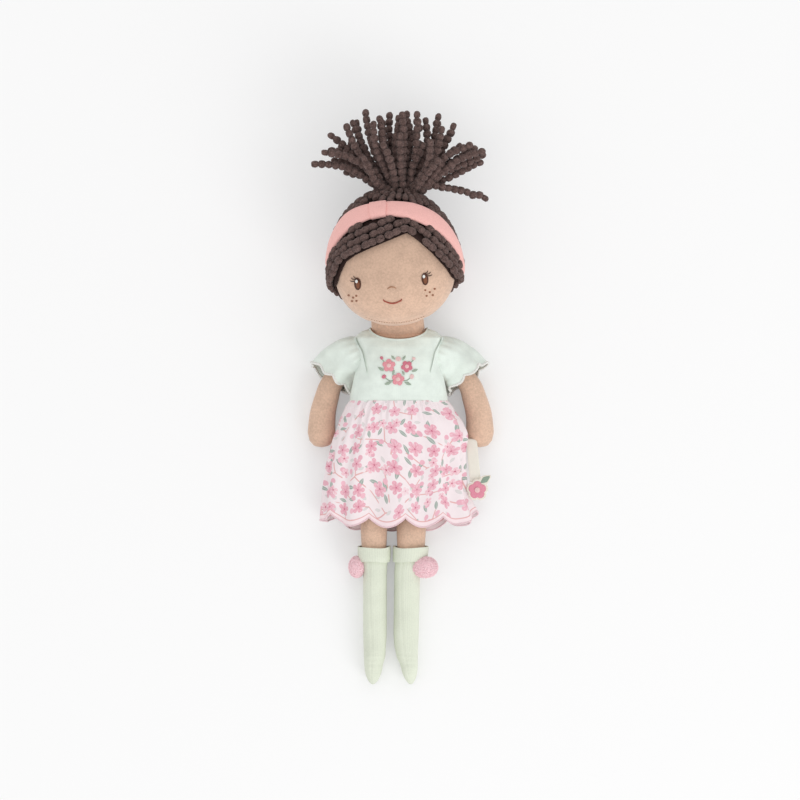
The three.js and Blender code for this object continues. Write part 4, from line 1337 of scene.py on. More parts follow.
@dataclass
class Arm(Maker):
    """A stuffed arm that swells to a round hand, sewn along both edges.

    The path's shares are the way outwards and the way down; the sizes are a place, the width and the depth.
    """

    side: Side = Side.RIGHT
    length: float = 68 * MM
    half_width: float = 8.9 * MM
    thickness: float = 16 * MM
    hand_spread: float = 48 * MM
    left_more: float = 1.8 * MM
    end_share: float = 0.03
    rest_flat: float = 0.5 * MM
    seam_depth: float = 0.35 * MM
    fullness: float = 2.1
    path_shares: tuple = ((0, 0), (0.3, 0.06), (0.72, 0.3), (0.87, 0.48), (0.96, 0.64), (0.99, 0.82), (0.985, 1))
    size_shares: tuple = ((0, 0.95, 1.05), (0.12, 0.86, 1), (0.35, 0.78, 0.92), (0.55, 0.88, 0.94), (0.75, 0.96, 1),
                          (0.86, 1, 1), (0.93, 0.88, 0.9), (0.98, 0.6, 0.62), (0.995, 0.32, 0.34), (1, 0, 0))

    def path(self) -> "Path":
        """The middle line of the arm.

        Returns:
            The line from the armhole to the hand's tip.
        """
        start = SHOULDERS[self.side].start
        more = self.left_more if self.side is Side.LEFT else 0.0
        hand_x = self.side.value * self.hand_spread + TORSO.centre_x / 2 + more
        drop = self.length - self.half_width * 1.3
        low = self.thickness / 2 - self.rest_flat
        return Path([Vector((mix(start.x, hand_x, out), start.y - down * drop,
                             mix(start.z, low, min(1.0, down * 1.4)))) for out, down in self.path_shares])

    def build(self, finish: Finishes) -> None:
        """Makes the arm in its finish.

        Args:
            finish: The doll's finishes.
        """
        path = self.path()
        axis = SHOULDERS[self.side].axis

        def place(u: float, v: float) -> Vector:
            """The arm's skin at a share round it and a share along it.

            Args:
                u: The share round it.
                v: The share from the armhole to the hand.

            Returns:
                The point.
            """
            share = max((v - self.end_share) / (1 - self.end_share), 0.0)
            along = axis.lerp(path.along(share), smooth(share / 0.1)).normalized()
            across = Vector((-along.y, along.x, 0)).normalized()
            upward = along.cross(across).normalized()
            width, depth = (size * min(v / self.end_share, 1.0) for size in read_table(self.size_shares, share))
            c, s = rounded(u * TAU, self.fullness)
            seam = self.seam_depth * max(0.0, abs(c) - 0.9) / 0.1 * min(width, 1.0)
            out = math.copysign(abs(c) * width * self.half_width - seam, c) if c else 0.0
            point = path.at(share) + across * out + upward * (s * depth * self.thickness / 2)
            point.z = max(point.z, 0.0)
            return point

        label = self.side.label
        self.stuffed(f"arm_{label}_stuffed", surface(44, 90, place), finish["skin_plush"], f"arm_{label}", 0.75)


@dataclass
class LegForm:
    """The line and the sections of a leg, which its sock follows.

    Each row of shares holds the place down the leg, the outer and the inner half width, and the depth.
    """

    side: Side
    half_width: float = 8.1 * MM
    thickness: float = 16.2 * MM
    hip_y: float = -38 * MM
    spread: float = 11.7 * MM
    centre_x: float = -4.1 * MM
    toe_drop: float = 173.4 * MM
    sock_top: float = 88.5 * MM
    sock_thickness: float = 1.15 * MM
    rest_flat: float = 0.5 * MM
    fullness: float = 2.3
    right_shares: tuple = ((0, 1, 1, 1), (0.3, 1.04, 0.98, 1), (0.37, 0.98, 0.94, 0.98), (0.42, 0.86, 0.86, 0.92),
                           (0.5, 0.66, 0.77, 0.88), (0.78, 0.66, 0.76, 0.82), (0.88, 0.61, 0.66, 0.76),
                           (0.93, 0.57, 0.45, 0.7), (0.985, 0.4, 0.1, 0.5), (1, 0.34, 0.04, 0.4))
    left_shares: tuple = ((0, 1, 1.12, 1), (0.3, 1.03, 1.2, 1), (0.37, 0.97, 1.16, 0.98), (0.42, 0.8, 1.09, 0.92),
                          (0.5, 0.4, 1.18, 0.88), (0.78, 0.31, 1.24, 0.82), (0.83, 0.26, 1.19, 0.8),
                          (0.88, 0.24, 1.03, 0.76), (0.93, 0.23, 0.7, 0.7), (0.985, 0.14, 0.22, 0.5),
                          (1, 0.1, 0.1, 0.4))

    @property
    def length(self) -> float:
        """From the hip joint to the toe."""
        return self.toe_drop + self.hip_y

    def point(self, u: float, drop: float, offset: float, low: float, size: float = 1.0) -> Vector:
        """The point of the leg at a share round it and a drop below the hip joint.

        Args:
            u: The share round the leg.
            drop: The drop below the hip joint; past the toe it is the toe's.
            offset: How far outside the skin.
            low: The lowest height of the point.
            size: The section's size, below 1 where an end is drawn together.

        Returns:
            The point.
        """
        shares = self.right_shares if self.side is Side.RIGHT else self.left_shares
        outer, inner, depth = read_table(shares, drop / self.length)
        side = self.side.value
        outer_x = side * (outer * self.half_width + offset)
        inner_x = -side * (inner * self.half_width + offset)
        half_depth = depth * self.thickness / 2 + offset
        across, upward = rounded(u * TAU, self.fullness)
        middle_z = self.sock_thickness + TORSO.seam_gap - self.rest_flat + depth * self.thickness / 2
        x = self.centre_x + side * self.spread + (outer_x + inner_x) / 2 + across * abs(outer_x - inner_x) / 2 * size
        z = max(middle_z + upward * half_depth * size, low)
        return Vector((x, WAIST_Y + self.hip_y - drop, z))


@dataclass
class Leg(Maker):
    """A stuffed leg with a round top at the hip and a pointed foot."""

    side: Side = Side.RIGHT
    top_round: float = 7.6 * MM
    top: float = 0.1
    toe: float = 0.9
    toe_blunt: float = 0.85

    def build(self, finish: Finishes) -> None:
        """Makes the leg in its finish.

        Args:
            finish: The doll's finishes.
        """
        form = LegForm(self.side)
        low = form.sock_thickness + TORSO.seam_gap
        blunt = form.half_width * self.toe_blunt

        def place(u: float, v: float) -> Vector:
            """The leg's skin at a share round it and a share down it.

            Args:
                u: The share round it.
                v: The share from the hip to the toe.

            Returns:
                The point.
            """
            if v < self.top:
                angle = (1 - v / self.top) * math.pi / 2
                point = form.point(u, 0.0, 0.0, low, math.cos(angle))
                return point + Vector((0, self.top_round * math.sin(angle), 0))
            share = min((v - self.top) / (self.toe - self.top), 1.0)
            angle = max(v - self.toe, 0.0) / (1 - self.toe) * math.pi / 2
            point = form.point(u, share * (form.length - blunt), 0.0, low, math.cos(angle))
            return point - Vector((0, blunt * math.sin(angle), 0))

        label = self.side.label
        self.stuffed(f"leg_{label}_stuffed", surface(40, 96, place), finish["skin_plush"], f"leg_{label}", 0.75)


@dataclass
class HeadForm:
    """The head's round form in a frame of its own, with the crown at +Y and the face at +Z."""

    centre: Vector = field(default_factory=lambda: Vector((-3 * MM, WAIST_Y + 77.5 * MM, 36.8 * MM)))
    half_width: float = 36.6 * MM
    crown: float = 47 * MM
    chin: float = 32.3 * MM
    half_depth: float = 31 * MM
    tilt_degrees: float = 4.0
    hairline_right: tuple = ((-1.06, -0.17), (-0.99, -0.1), (-0.93, 0.02), (-0.82, 0.17), (-0.65, 0.25),
                             (-0.4, 0.32), (-0.13, 0.39), (0.25, 0.49))
    hairline_left: tuple = ((0.25, 0.49), (0.42, 0.38), (0.64, 0.21), (0.87, -0.01), (0.95, -0.12), (1.06, -0.19))

    @property
    def matrix(self) -> Matrix:
        """The way from the head's own frame to the doll's."""
        return Matrix.Translation(self.centre) @ Matrix.Rotation(math.radians(self.tilt_degrees), 4, "Z")

    def size(self, y: float, offset: float) -> Vector:
        """The three half axes of the form on the crown's or the chin's side."""
        reach = self.crown if y > 0 else self.chin
        return Vector((self.half_width + offset, reach + offset, self.half_depth + offset))

    def shell(self, direction: Vector, offset: float) -> Vector:
        """The point of the form, offset outwards, in a direction from its middle.

        Args:
            direction: A direction from the head's middle.
            offset: How far outside the skin.

        Returns:
            The point.
        """
        unit = direction.normalized()
        size = self.size(unit.y, offset)
        return unit / Vector((unit.x / size.x, unit.y / size.y, unit.z / size.z)).length

    def outward(self, point: Vector) -> Vector:
        """The direction square to the form at a point."""
        size = self.size(point.y, 0.0)
        return Vector((point.x / size.x ** 2, point.y / size.y ** 2, point.z / size.z ** 2)).normalized()

    def face(self, x: float, y: float, offset: float) -> Vector:
        """The point of the face over a place seen from the front.

        Args:
            x: The place across.
            y: The place up the face.
            offset: How far outside the skin.

        Returns:
            The point.
        """
        size = self.size(y, offset)
        rest = 1 - (x / size.x) ** 2 - (y / size.y) ** 2
        return Vector((x, y, size.z * math.sqrt(max(rest, 0.0))))

    def hairline(self, shares: tuple) -> list[Vector]:
        """The points of a stretch of the hairline on the skin."""
        return [self.face(max(min(x, 0.995), -0.995) * self.half_width, y * self.crown, 0.0) for x, y in shares]


HEAD = HeadForm()


def globe(u: float, v: float) -> Vector:
    """The direction at two shares over a globe with its poles at the chin and the crown."""
    polar, angle = v * math.pi, u * TAU
    return Vector((math.sin(polar) * math.cos(angle), -math.cos(polar), math.sin(polar) * math.sin(angle)))


def to_head(bm: bmesh.types.BMesh) -> bmesh.types.BMesh:
    """Moves a mesh from the head's own frame to its place on the doll."""
    bmesh.ops.transform(bm, matrix=HEAD.matrix, verts=bm.verts)
    return bm


@dataclass
class Head(Maker):
    """The stuffed head and the face embroidered on it."""

    eye_spread: float = 20.4 * MM
    eye_middle: float = -2.7 * MM
    eye_height: float = -5.8 * MM
    eye_half_width: float = 2.1 * MM
    eye_half_height: float = 3.8 * MM
    mouth_height: float = -17.3 * MM
    mouth_half_width: float = 5.2 * MM
    mouth_sag: float = 1.75 * MM
    nose_height: float = -10.3 * MM
    nose_half_width: float = 2.7 * MM
    freckle_radius: float = 0.72 * MM
    cheeks: tuple[float, float] = (-19 * MM, 16 * MM)
    cheek_height: float = -13 * MM
    cheek_reach: float = 8 * MM
    cheek_swell: float = 0.5 * MM
    crease_height: float = -29 * MM
    crease_reach: float = 0.9 * MM
    crease_depth: float = 0.35 * MM
    chin_stitches: int = 24
    chin_share: float = 0.952
    smile_lean: float = 0.045
    stitch_rise: float = 0.55 * MM
    lift: float = 0.25 * MM

    def drape(self, x: float, y: float, rise: float) -> Vector:
        """The point over the face at a height of embroidery."""
        return HEAD.face(x, y, self.lift + rise)

    def embroider(self, name: str, bm: bmesh.types.BMesh, thread: bpy.types.Material,
                  nodes: Sequence[str] = ()) -> None:
        """Makes a piece of embroidery from a mesh in the head's own frame."""
        self.piece(name, to_head(bm), thread, nodes)

    def stitch(self, bm: bmesh.types.BMesh, places: Sequence[tuple[float, float]], rise: float,
               radius: Callable[[float], float] | float, steps: int, sides: int = 6) -> None:
        """Adds a line of stitches over the face to a mesh.

        Args:
            bm: The mesh that takes it.
            places: The places it runs through, seen from the front.
            rise: How far its middle stands off the embroidery's ground.
            radius: Its radius, or the radius at each share of its length.
            steps: Rings along it.
            sides: Points round it.
        """
        add_tube(bm, Path([HEAD.face(x, y, self.lift + rise) for x, y in places]), radius, steps, sides)

    def build(self, finish: Finishes) -> None:
        """Makes the head, eyes, lashes, mouth, nose, freckles and chin in their finishes.

        Args:
            finish: The doll's finishes.
        """
        self.stuffed("head_stuffed", to_head(surface(96, 64, self.skin)), finish["skin_plush"], "head", 0.8)
        for side in Side:
            self.eye(side, finish)
        self.mouth(finish)
        self.nose(finish)
        self.freckles(finish)
        self.chin(finish)

    def skin(self, u: float, v: float) -> Vector:
        """The head's skin, with full cheeks and a shallow crease where the chin meets the neck.

        Args:
            u: The share round the head.
            v: The share from the chin to the crown.

        Returns:
            The point.
        """
        point = HEAD.shell(globe(u, v), 0.0)
        cheek = sum(math.exp(-((point.x - x) ** 2 + (point.y - self.cheek_height) ** 2) / (2 * self.cheek_reach ** 2))
                    for x in self.cheeks) * (1 if point.z > 0 else 0)
        crease = bell(point.y - self.crease_height, self.crease_reach) * smooth(point.z / (10 * MM) + 1)
        return point + HEAD.outward(point) * (cheek * self.cheek_swell - crease * self.crease_depth)

    def eye(self, side: Side, finish: Finishes) -> None:
        """Makes one eye: a dark oval, a lighter middle, a glint and three lashes.

        Args:
            side: The eye's side.
            finish: The doll's finishes.
        """
        x, y = self.eye_middle + side.value * self.eye_spread, self.eye_height
        wide, high, proud = self.eye_half_width, self.eye_half_height, self.stitch_rise
        label = side.label
        layers = (
            (f"eye_{label}_stitched", "brown_thread", (0.0, 0.0), (wide, high), 0.0, proud, 36, 10),
            (f"iris_{label}", "iris_thread", (0.15, -0.5), (wide * 0.55, high * 0.62), proud * 0.8, 0.3 * MM, 24, 8),
            (f"glint_{label}", "white_thread", (-0.55, 1.5), (0.8 * MM, 1.05 * MM), proud + 0.25 * MM, 0.3 * MM, 16, 6),
        )
        for name, thread, (right, up), halves, ground, height, columns, rows in layers:
            bm = bmesh.new()
            lens(bm, (x + right * MM, y + up * MM), oval(*halves), height,
                 lambda px, py, rise, ground=ground: self.drape(px, py, ground + rise), columns, rows)
            self.embroider(name, bm, finish[thread], [f"eye_{label}"] if not ground else ())
        lash = bmesh.new()
        out = side.value
        for root_y, reach, rise in ((0.5, 2.9, 0.9), (0.78, 2.5, 1.9), (0.97, 1.6, 2.3)):
            foot_x = x + out * wide * math.sqrt(1 - root_y ** 2) * 0.9
            foot_y = y + high * root_y * 0.95
            tip = (foot_x + out * reach * MM, foot_y + rise * 0.62 * MM)
            bow = ((foot_x + tip[0]) / 2 + out * 0.35 * MM, (foot_y + tip[1]) / 2 - 0.3 * MM)
            self.stitch(lash, ((foot_x, foot_y), bow, tip), 0.2 * MM, lambda at: mix(0.3, 0.16, at) * MM, 8)
        self.embroider(f"lashes_{label}", lash, finish["lash_thread"])

    def mouth(self, finish: Finishes) -> None:
        """Makes the smile: one line of stitches with a short tick at each end.

        Args:
            finish: The doll's finishes.
        """
        half, bm = self.mouth_half_width, bmesh.new()
        places = [(self.eye_middle + at * half, self.mouth_height - self.mouth_sag * (1 - at * at))
                  for at in (-1, -0.75, -0.4, 0, 0.4, 0.75, 1)]
        places = [(x, y - self.smile_lean * (x - self.eye_middle)) for x, y in places]
        self.stitch(bm, places, 0.15 * MM, lambda at: (0.34 + 0.16 * math.sin(at * math.pi)) * MM, 30, 8)
        for end in (-1, 1):
            x, y = self.eye_middle + end * half, self.mouth_height - self.smile_lean * end * half
            tick = [(x + end * right * MM, y + up * MM) for right, up in ((-0.35, -0.75), (0.1, 0.05), (0.3, 0.75))]
            self.stitch(bm, tick, 0.15 * MM, 0.3 * MM, 6)
        self.embroider("mouth_stitched", bm, finish["lip_thread"], ["mouth"])

    def nose(self, finish: Finishes) -> None:
        """Makes the faint arch of the nose.

        Args:
            finish: The doll's finishes.
        """
        places = [(self.eye_middle + at * self.nose_half_width, self.nose_height + 1.1 * MM * (1 - at * at))
                  for at in (-1, -0.5, 0, 0.5, 1)]
        bm = bmesh.new()
        self.stitch(bm, places, 0.0, lambda at: (0.2 + 0.18 * math.sin(at * math.pi)) * MM, 18)
        self.embroider("nose_stitched", bm, finish["nose_thread"], ["nose"])

    def freckles(self, finish: Finishes) -> None:
        """Makes the five small stitched freckles on each cheek.

        Args:
            finish: The doll's finishes.
        """
        right = ((-29.1, -11.3), (-26.4, -12.9), (-24.4, -12.0), (-27.3, -14.9), (-24.5, -15.0))
        left = ((17.4, -11.6), (20.1, -12.9), (23.2, -11.1), (18.0, -15.0), (21.8, -14.8))
        bm = bmesh.new()
        outline = oval(self.freckle_radius, self.freckle_radius * 0.85)
        for x, y in right + left:
            lens(bm, (x * MM, (y - 0.9) * MM), outline, 0.35 * MM, self.drape, 14, 6)
        self.embroider("freckles", bm, finish["freckle_thread"])

    def chin(self, finish: Finishes) -> None:
        """Makes the fine stitches of the seam under the chin.

        Args:
            finish: The doll's finishes.
        """
        bm = bmesh.new()
        for i in range(self.chin_stitches):
            ends = []
            for x in (-19.5 * MM + i * 1.5 * MM, -18.7 * MM + i * 1.5 * MM):
                y = -self.chin_share * HEAD.chin * math.sqrt(1 - (x / HEAD.half_width) ** 2)
                ends.append(HEAD.face(x, y, 0.12 * MM))
            add_tube(bm, Path([ends[0], (ends[0] + ends[1]) / 2, ends[1]]), 0.17 * MM, 3, 6)
        self.embroider("chin_stitches", bm, finish["nose_thread"])


@dataclass
class HairForm:
    """The layers of the hair over the head's skin."""

    cap_end: float = 1.35 * MM
    cap_thickness: float = 0.9 * MM
    yarn_start: float = 1.7 * MM
    band_width: float = 11.4 * MM
    band_thickness: float = 4.2 * MM
    band_tilt_degrees: float = -7.0
    side_height: float = 8 * MM
    brow_height: float = 33.3 * MM
    brow_depth: float = 19.2 * MM
    nape_height: float = -4.7 * MM
    nape_depth: float = 49.6 * MM
    nape_edge: float = 15.3 * MM
    pinch: Vector = field(default_factory=lambda: Vector((7.6 * MM, 53.5 * MM, 0)))
    bend: float = 14 * MM
    search: tuple[float, float] = (-1.3, 1.45)
    search_steps: int = 26

    def band_height(self, point: Vector) -> float:
        """How far a point lies above the middle line of the headband.

        Args:
            point: A point in the head's own frame.

        Returns:
            The height, negative below the line.
        """
        turn = math.radians(-self.band_tilt_degrees)
        y = point.x * math.sin(turn) + point.y * math.cos(turn)
        rise = (self.brow_height - self.side_height) / self.brow_depth
        fall = (self.side_height - self.nape_height) / self.nape_depth
        slope = mix(fall, rise, smooth((point.z + self.bend) / (2 * self.bend)))
        return (y - self.side_height - point.z * slope) / math.hypot(1, slope)

    def band_point(self, angle: float, offset: float) -> Vector:
        """The point on the headband's middle line at an angle round the head.

        Args:
            angle: The angle, 90 degrees in front.
            offset: How far outside the skin.

        Returns:
            The point.
        """
        low, high = self.search
        for _ in range(self.search_steps):
            middle = (low + high) / 2
            level = Vector((math.cos(angle) * math.cos(middle), math.sin(middle), math.sin(angle) * math.cos(middle)))
            if self.band_height(HEAD.shell(level, offset)) > 0:
                high = middle
            else:
                low = middle
        return HEAD.shell(level, offset)


HAIR = HairForm()


def yarn_bead(bm: bmesh.types.BMesh, middle: Vector, along: Vector, upward: Vector, size: Vector, seed: float,
              columns: int = 11, rows: int = 7) -> None:
    """Adds one tuft of beaded yarn to a mesh.

    Args:
        bm: The mesh.
        middle: The tuft's middle.
        along: The direction of the yarn.
        upward: The direction away from what carries it.
        size: Half its length, width and height.
        seed: Sets its wobble.
        columns: Faces round it.
        rows: Faces from end to end.
    """
    across = along.cross(upward).normalized()
    top = across.cross(along).normalized()
    placed = Matrix((across, top, along)).transposed().to_4x4()
    placed.translation = middle
    made = bmesh.ops.create_uvsphere(bm, u_segments=columns, v_segments=rows, radius=1.0)
    for vert in made["verts"]:
        x, y, z = vert.co
        lump = 1 + 0.09 * wave(seed, x * 3.1 + z * 2.3, y * 3.3 - z * 1.9)
        fuller = lump * max(math.hypot(x, y), 0.05) ** -0.15
        end = math.copysign(abs(z) ** 0.86, z)
        vert.co = placed @ Vector((x * size.y * fuller, y * size.z * fuller, end * size.x * lump))


@dataclass
class Hair(Maker):
    """The cap of hair cloth, the rows of beaded yarn sewn on it, and the ponytail."""

    row_count: int = 48
    bead_length: float = 5.8 * MM
    bead_width: float = 4.3 * MM
    fringe_pitch: float = 4.3 * MM
    fringe_rows: int = 8
    filling_strands: int = 24
    strand_radius: float = 2.55 * MM
    tail_bead: float = 4.4 * MM
    tie_radius: float = 5.6 * MM
    edge_drop: float = 8 * MM
    tie_turns: int = 2
    tie_tufts: int = 12
    chance: random.Random = field(default_factory=lambda: random.Random(7))

    def build(self, finish: Finishes) -> None:
        """Makes every piece of the hair in its finish.

        Args:
            finish: The doll's finishes.
        """
        self.cap(finish)
        for name, bm, node in (
            ("crown_rows", self.rows(True), "crown_yarn"),
            ("nape_rows", self.rows(False), "nape_yarn"),
            ("fringe_right_rows", self.fringe(Side.RIGHT), "fringe_right"),
            ("fringe_left_rows", self.fringe(Side.LEFT), "fringe_left"),
            ("ponytail_strands", self.ponytail(), "ponytail"),
            ("ponytail_wrap", self.tie(), "ponytail_tie"),
        ):
            self.piece(name, to_head(bm), finish["brown_yarn"], [node])

    def nape_line(self, share: float) -> float:
        """The height of the hair's lower edge at a share, below 0, of the way to the back of the head."""
        return -self.edge_drop - min(-share, 1.0) * HAIR.nape_edge

    def bare(self, point: Vector, widen: float = 0.0) -> float:
        """Tells where the head is bare.

        Args:
            point: A point of the head, in its own frame.
            widen: Moves the edge of the hair outwards.

        Returns:
            How far the point lies inside the bare face or neck; negative under the hair.
        """
        if point.z < 0:
            return self.nape_line(point.z / HEAD.half_depth) - point.y + widen
        places = [(x * HEAD.half_width, y * HEAD.crown) for x, y in HEAD.hairline_right + HEAD.hairline_left[1:]]
        if point.x <= places[0][0] or point.x >= places[-1][0]:
            edge = places[0][1] if point.x < 0 else places[-1][1]
            return edge - point.y + widen
        for low, high in zip(places, places[1:]):
            if low[0] <= point.x <= high[0]:
                share = (point.x - low[0]) / (high[0] - low[0])
                slope = (high[1] - low[1]) / (high[0] - low[0])
                return (mix(low[1], high[1], share) - point.y) / math.hypot(1, slope) + widen
        return -1.0

    def cap(self, finish: Finishes) -> None:
        """Makes the cap of dark cloth that the yarn is sewn on.

        Args:
            finish: The doll's finishes.
        """
        bm = trimmed(surface(150, 100, lambda u, v: HEAD.shell(globe(u, v), HAIR.cap_end)),
                     lambda point: self.bare(point, 1.3 * MM if point.z < -2 * MM else 0.0))
        bm = thicken(facing_out(bm, Vector((0, 0, 0))), HAIR.cap_thickness)
        cloth = self.piece("hair_cap_cloth", to_head(bm), finish["hair_cloth"], ["hair_cap"])
        self.sheet(cloth, (190, 150), "stretched", ["head_stuffed"])

    def lay_row(self, bm: bmesh.types.BMesh, path: Path, keep: Callable[[Vector], bool], seed: float) -> None:
        """Lays one row of yarn over the head.

        Args:
            bm: The mesh that takes the row.
            path: A path of directions from the head's middle.
            keep: Tells whether there is a tuft at a point.
            seed: Sets the tufts' wobble.
        """

        def base(share: float) -> Vector:
            """The yarn's foot on the head at a share of the row."""
            return HEAD.shell(path.at(share), HAIR.yarn_start)

        stations = [base(i / 24) for i in range(25)]
        length = sum((after - before).length for before, after in zip(stations, stations[1:]))
        count = max(2, round(length / (self.bead_length * 0.86)))
        row = bmesh.new()
        for i in range(count):
            share = (i + 0.5 + 0.12 * math.sin(seed * 5 + i * 2.1)) / count
            near = base(share)
            if not keep(near):
                continue
            along = (base(share + 0.02) - base(share - 0.02)).normalized()
            outward = HEAD.outward(near)
            gather = 1 - 0.22 * smooth((near.y - 36 * MM) / (14 * MM))
            half = Vector((self.bead_length * 0.53, self.bead_width * 0.52 * gather, self.bead_width * 0.5))
            yarn_bead(row, near + outward * (half.z * 0.95 + 0.1 * MM), along, outward, half, seed + i * 0.7)
        merge_into(bm, row)

    def rows(self, crown: bool) -> bmesh.types.BMesh:
        """Lays the rows that run up to the pinch.

        Args:
            crown: Whether they are the rows above the headband, or else those behind and below it.

        Returns:
            The mesh, in the head's own frame.
        """
        bm = bmesh.new()
        edge = HAIR.band_width / 2 + 0.3 * MM
        goal = HAIR.pinch.normalized()
        for row in range(self.row_count):
            angle = TAU * (row + 0.5) / self.row_count
            start = self.low_direction(Vector((math.cos(angle), 0, math.sin(angle))))

            def keep(point: Vector, row: int = row) -> bool:
                """Whether there is a tuft: outside the band, and thinned out near the pinch.

                Args:
                    point: The tuft's place.
                    row: The row that it is in.

                Returns:
                    True where it stays.
                """
                height = HAIR.band_height(point)
                close = (point - HEAD.shell(goal, HAIR.yarn_start)).length
                thin_out = (row % 2 == 1 and close < 25 * MM) or (row % 4 == 2 and close < 11 * MM)
                if close < 4.5 * MM or thin_out:
                    return False
                if crown:
                    wider = 2.2 * MM * smooth(-point.x / (14 * MM)) * smooth((point.z + 16 * MM) / (12 * MM))
                    return height > edge + wider
                return height < -edge and point.z <= 2 * MM

            self.lay_row(bm, Path([start.slerp(goal, share / 6) for share in range(7)]), keep, row * 1.37)
        return bm

    def low_direction(self, level: Vector) -> Vector:
        """The direction of the hair's lower edge below a level direction.

        Args:
            level: The level direction.

        Returns:
            The direction from the head's middle.
        """
        if level.z > 0.02:
            return (level + Vector((0, 0.1, 0))).normalized()
        drop = -self.edge_drop - min(-level.z, 1.0) * HAIR.nape_edge * 0.97 + 2.2 * MM
        direction = level.copy()
        for _ in range(6):
            point = HEAD.shell(direction, HAIR.yarn_start)
            direction = Vector((point.x, drop, point.z)).normalized()
        return direction

    def fringe(self, side: Side) -> bmesh.types.BMesh:
        """Lays the rows of one side of the fringe along the hairline, up to the headband.

        Args:
            side: The fringe's side.

        Returns:
            The mesh, in the head's own frame.
        """
        bm = bmesh.new()
        right = side is Side.RIGHT
        line = [point.normalized() for point in HEAD.hairline(HEAD.hairline_right if right else HEAD.hairline_left)]
        pole = Vector((0, -0.46, 1)).normalized()
        parting = 0.25 * HEAD.half_width

        def keep(point: Vector) -> bool:
            """Whether there is a tuft: on its own side, between the band and the face.

            Args:
                point: The tuft's place.

            Returns:
                True where it stays.
            """
            below_band = HAIR.band_height(point) < -HAIR.band_width / 2 - 0.2 * MM
            own_side = (point.x - parting) * side.value > 0.9 * MM
            return below_band and own_side and point.z > -3 * MM and self.bare(point) < -1.2 * MM

        for row in range(self.fringe_rows):
            turn = (row + (0.25 if right else 0.0)) * self.fringe_pitch / (HEAD.half_width * 1.02)
            path = Path([Matrix.Rotation(turn, 3, pole.cross(start).normalized()) @ start for start in line])
            self.lay_row(bm, path, keep, row * 2.9 + side.value)
        return bm

    def strand_line(self, tip: Vector, bow: float, wobble: float) -> Path:
        """The line of one strand of the ponytail.

        Args:
            tip: Its free end.
            bow: How far its middle is bent aside.
            wobble: The depth of its smaller bends.

        Returns:
            The line from the wrap to the tip.
        """
        heading = (tip - HAIR.pinch).normalized()
        base = HAIR.pinch + Vector((heading.x * 12, -1.5 - 4 * heading.x ** 2, heading.z * 12)) * MM
        reach = tip - base
        level = Vector((-reach.y, reach.x, 0)).normalized()
        points = [base - heading * 4 * MM]
        for share in (0.0, 0.2, 0.42, 0.66, 0.84, 1.0):
            side = bow * math.sin(share * math.pi) + wobble * math.sin(share * 7.5 + bow * 900)
            rise = Vector((0, 0, 3 * MM * math.sin(share * math.pi)))
            points.append(base + reach * share + level * side + rise)
        return Path(points)

    def ponytail(self) -> bmesh.types.BMesh:
        """Lays the strands of the ponytail, which fan out in layers from the wrap.

        Returns:
            The mesh of its tufts.
        """
        bm = bmesh.new()
        tips = ((-45.1, 69.2, 4, -6), (-38.5, 75.6, 9, -7), (-34.5, 77.0, 2, -8), (-33.0, 71.0, -4, -6),
                (-26.0, 63.5, -8, -3), (-33.8, 86.4, 1, -2), (-27.5, 80.0, -12, 4), (-23.5, 91.0, 8, 3),
                (-19.5, 93.4, 0, 2), (-17.3, 93.8, -6, 5), (-10.8, 99.2, 3, 4), (-7.0, 91.0, 14, 3),
                (-2.9, 94.3, 10, 2), (3.5, 97.0, -6, 2), (8.4, 94.2, 5, -1), (11.5, 95.8, 11, 0), (14.1, 96.8, -3, -2),
                (19.5, 95.8, 9, -3), (25.3, 91.8, 0, -4), (32.8, 94.3, -8, -4), (35.0, 85.2, 8, -3),
                (41.5, 87.6, 1, -3), (45.5, 74.1, 3, 3), (51.0, 74.5, 10, 4), (54.5, 72.0, 2, 3), (58.4, 70.0, 9, 3),
                (59.1, 68.3, -3, 2), (57.6, 63.2, -7, 1))
        lines = [self.strand_line(Vector((x, y, z)) * MM, bow * MM, 0.8 * MM * math.sin(i * 3.1))
                 for i, (x, y, z, bow) in enumerate(tips)]
        for i in range(self.filling_strands):
            share = (i + 0.5) / self.filling_strands
            fan = math.radians(mix(160, 14, share) + self.chance.uniform(-4, 4))
            layer = (-17, 9, 17, -9, 1)[i % 5] + self.chance.uniform(-2, 2)
            reach = self.chance.uniform(30, 42) * (1 - abs(layer) / 70)
            tip = HAIR.pinch + Vector((math.cos(fan) * reach, math.sin(fan) * reach, layer)) * MM
            bow = self.chance.uniform(-4.5, 4.5) * MM
            lines.append(self.strand_line(tip, bow, self.chance.uniform(-1, 1) * MM))
        stray = ((36, 49, 1), (46, 46.5, -3), (50, 44.2, -4), (54, 44.0, -5), (58.8, 41.0, -7))
        lines.append(Path([HAIR.pinch, HAIR.pinch + Vector((14, -1, 5)) * MM, *(Vector(at) * MM for at in stray)]))
        for seed, line in enumerate(lines):
            self.strand(bm, line, seed * 1.7)
        return bm

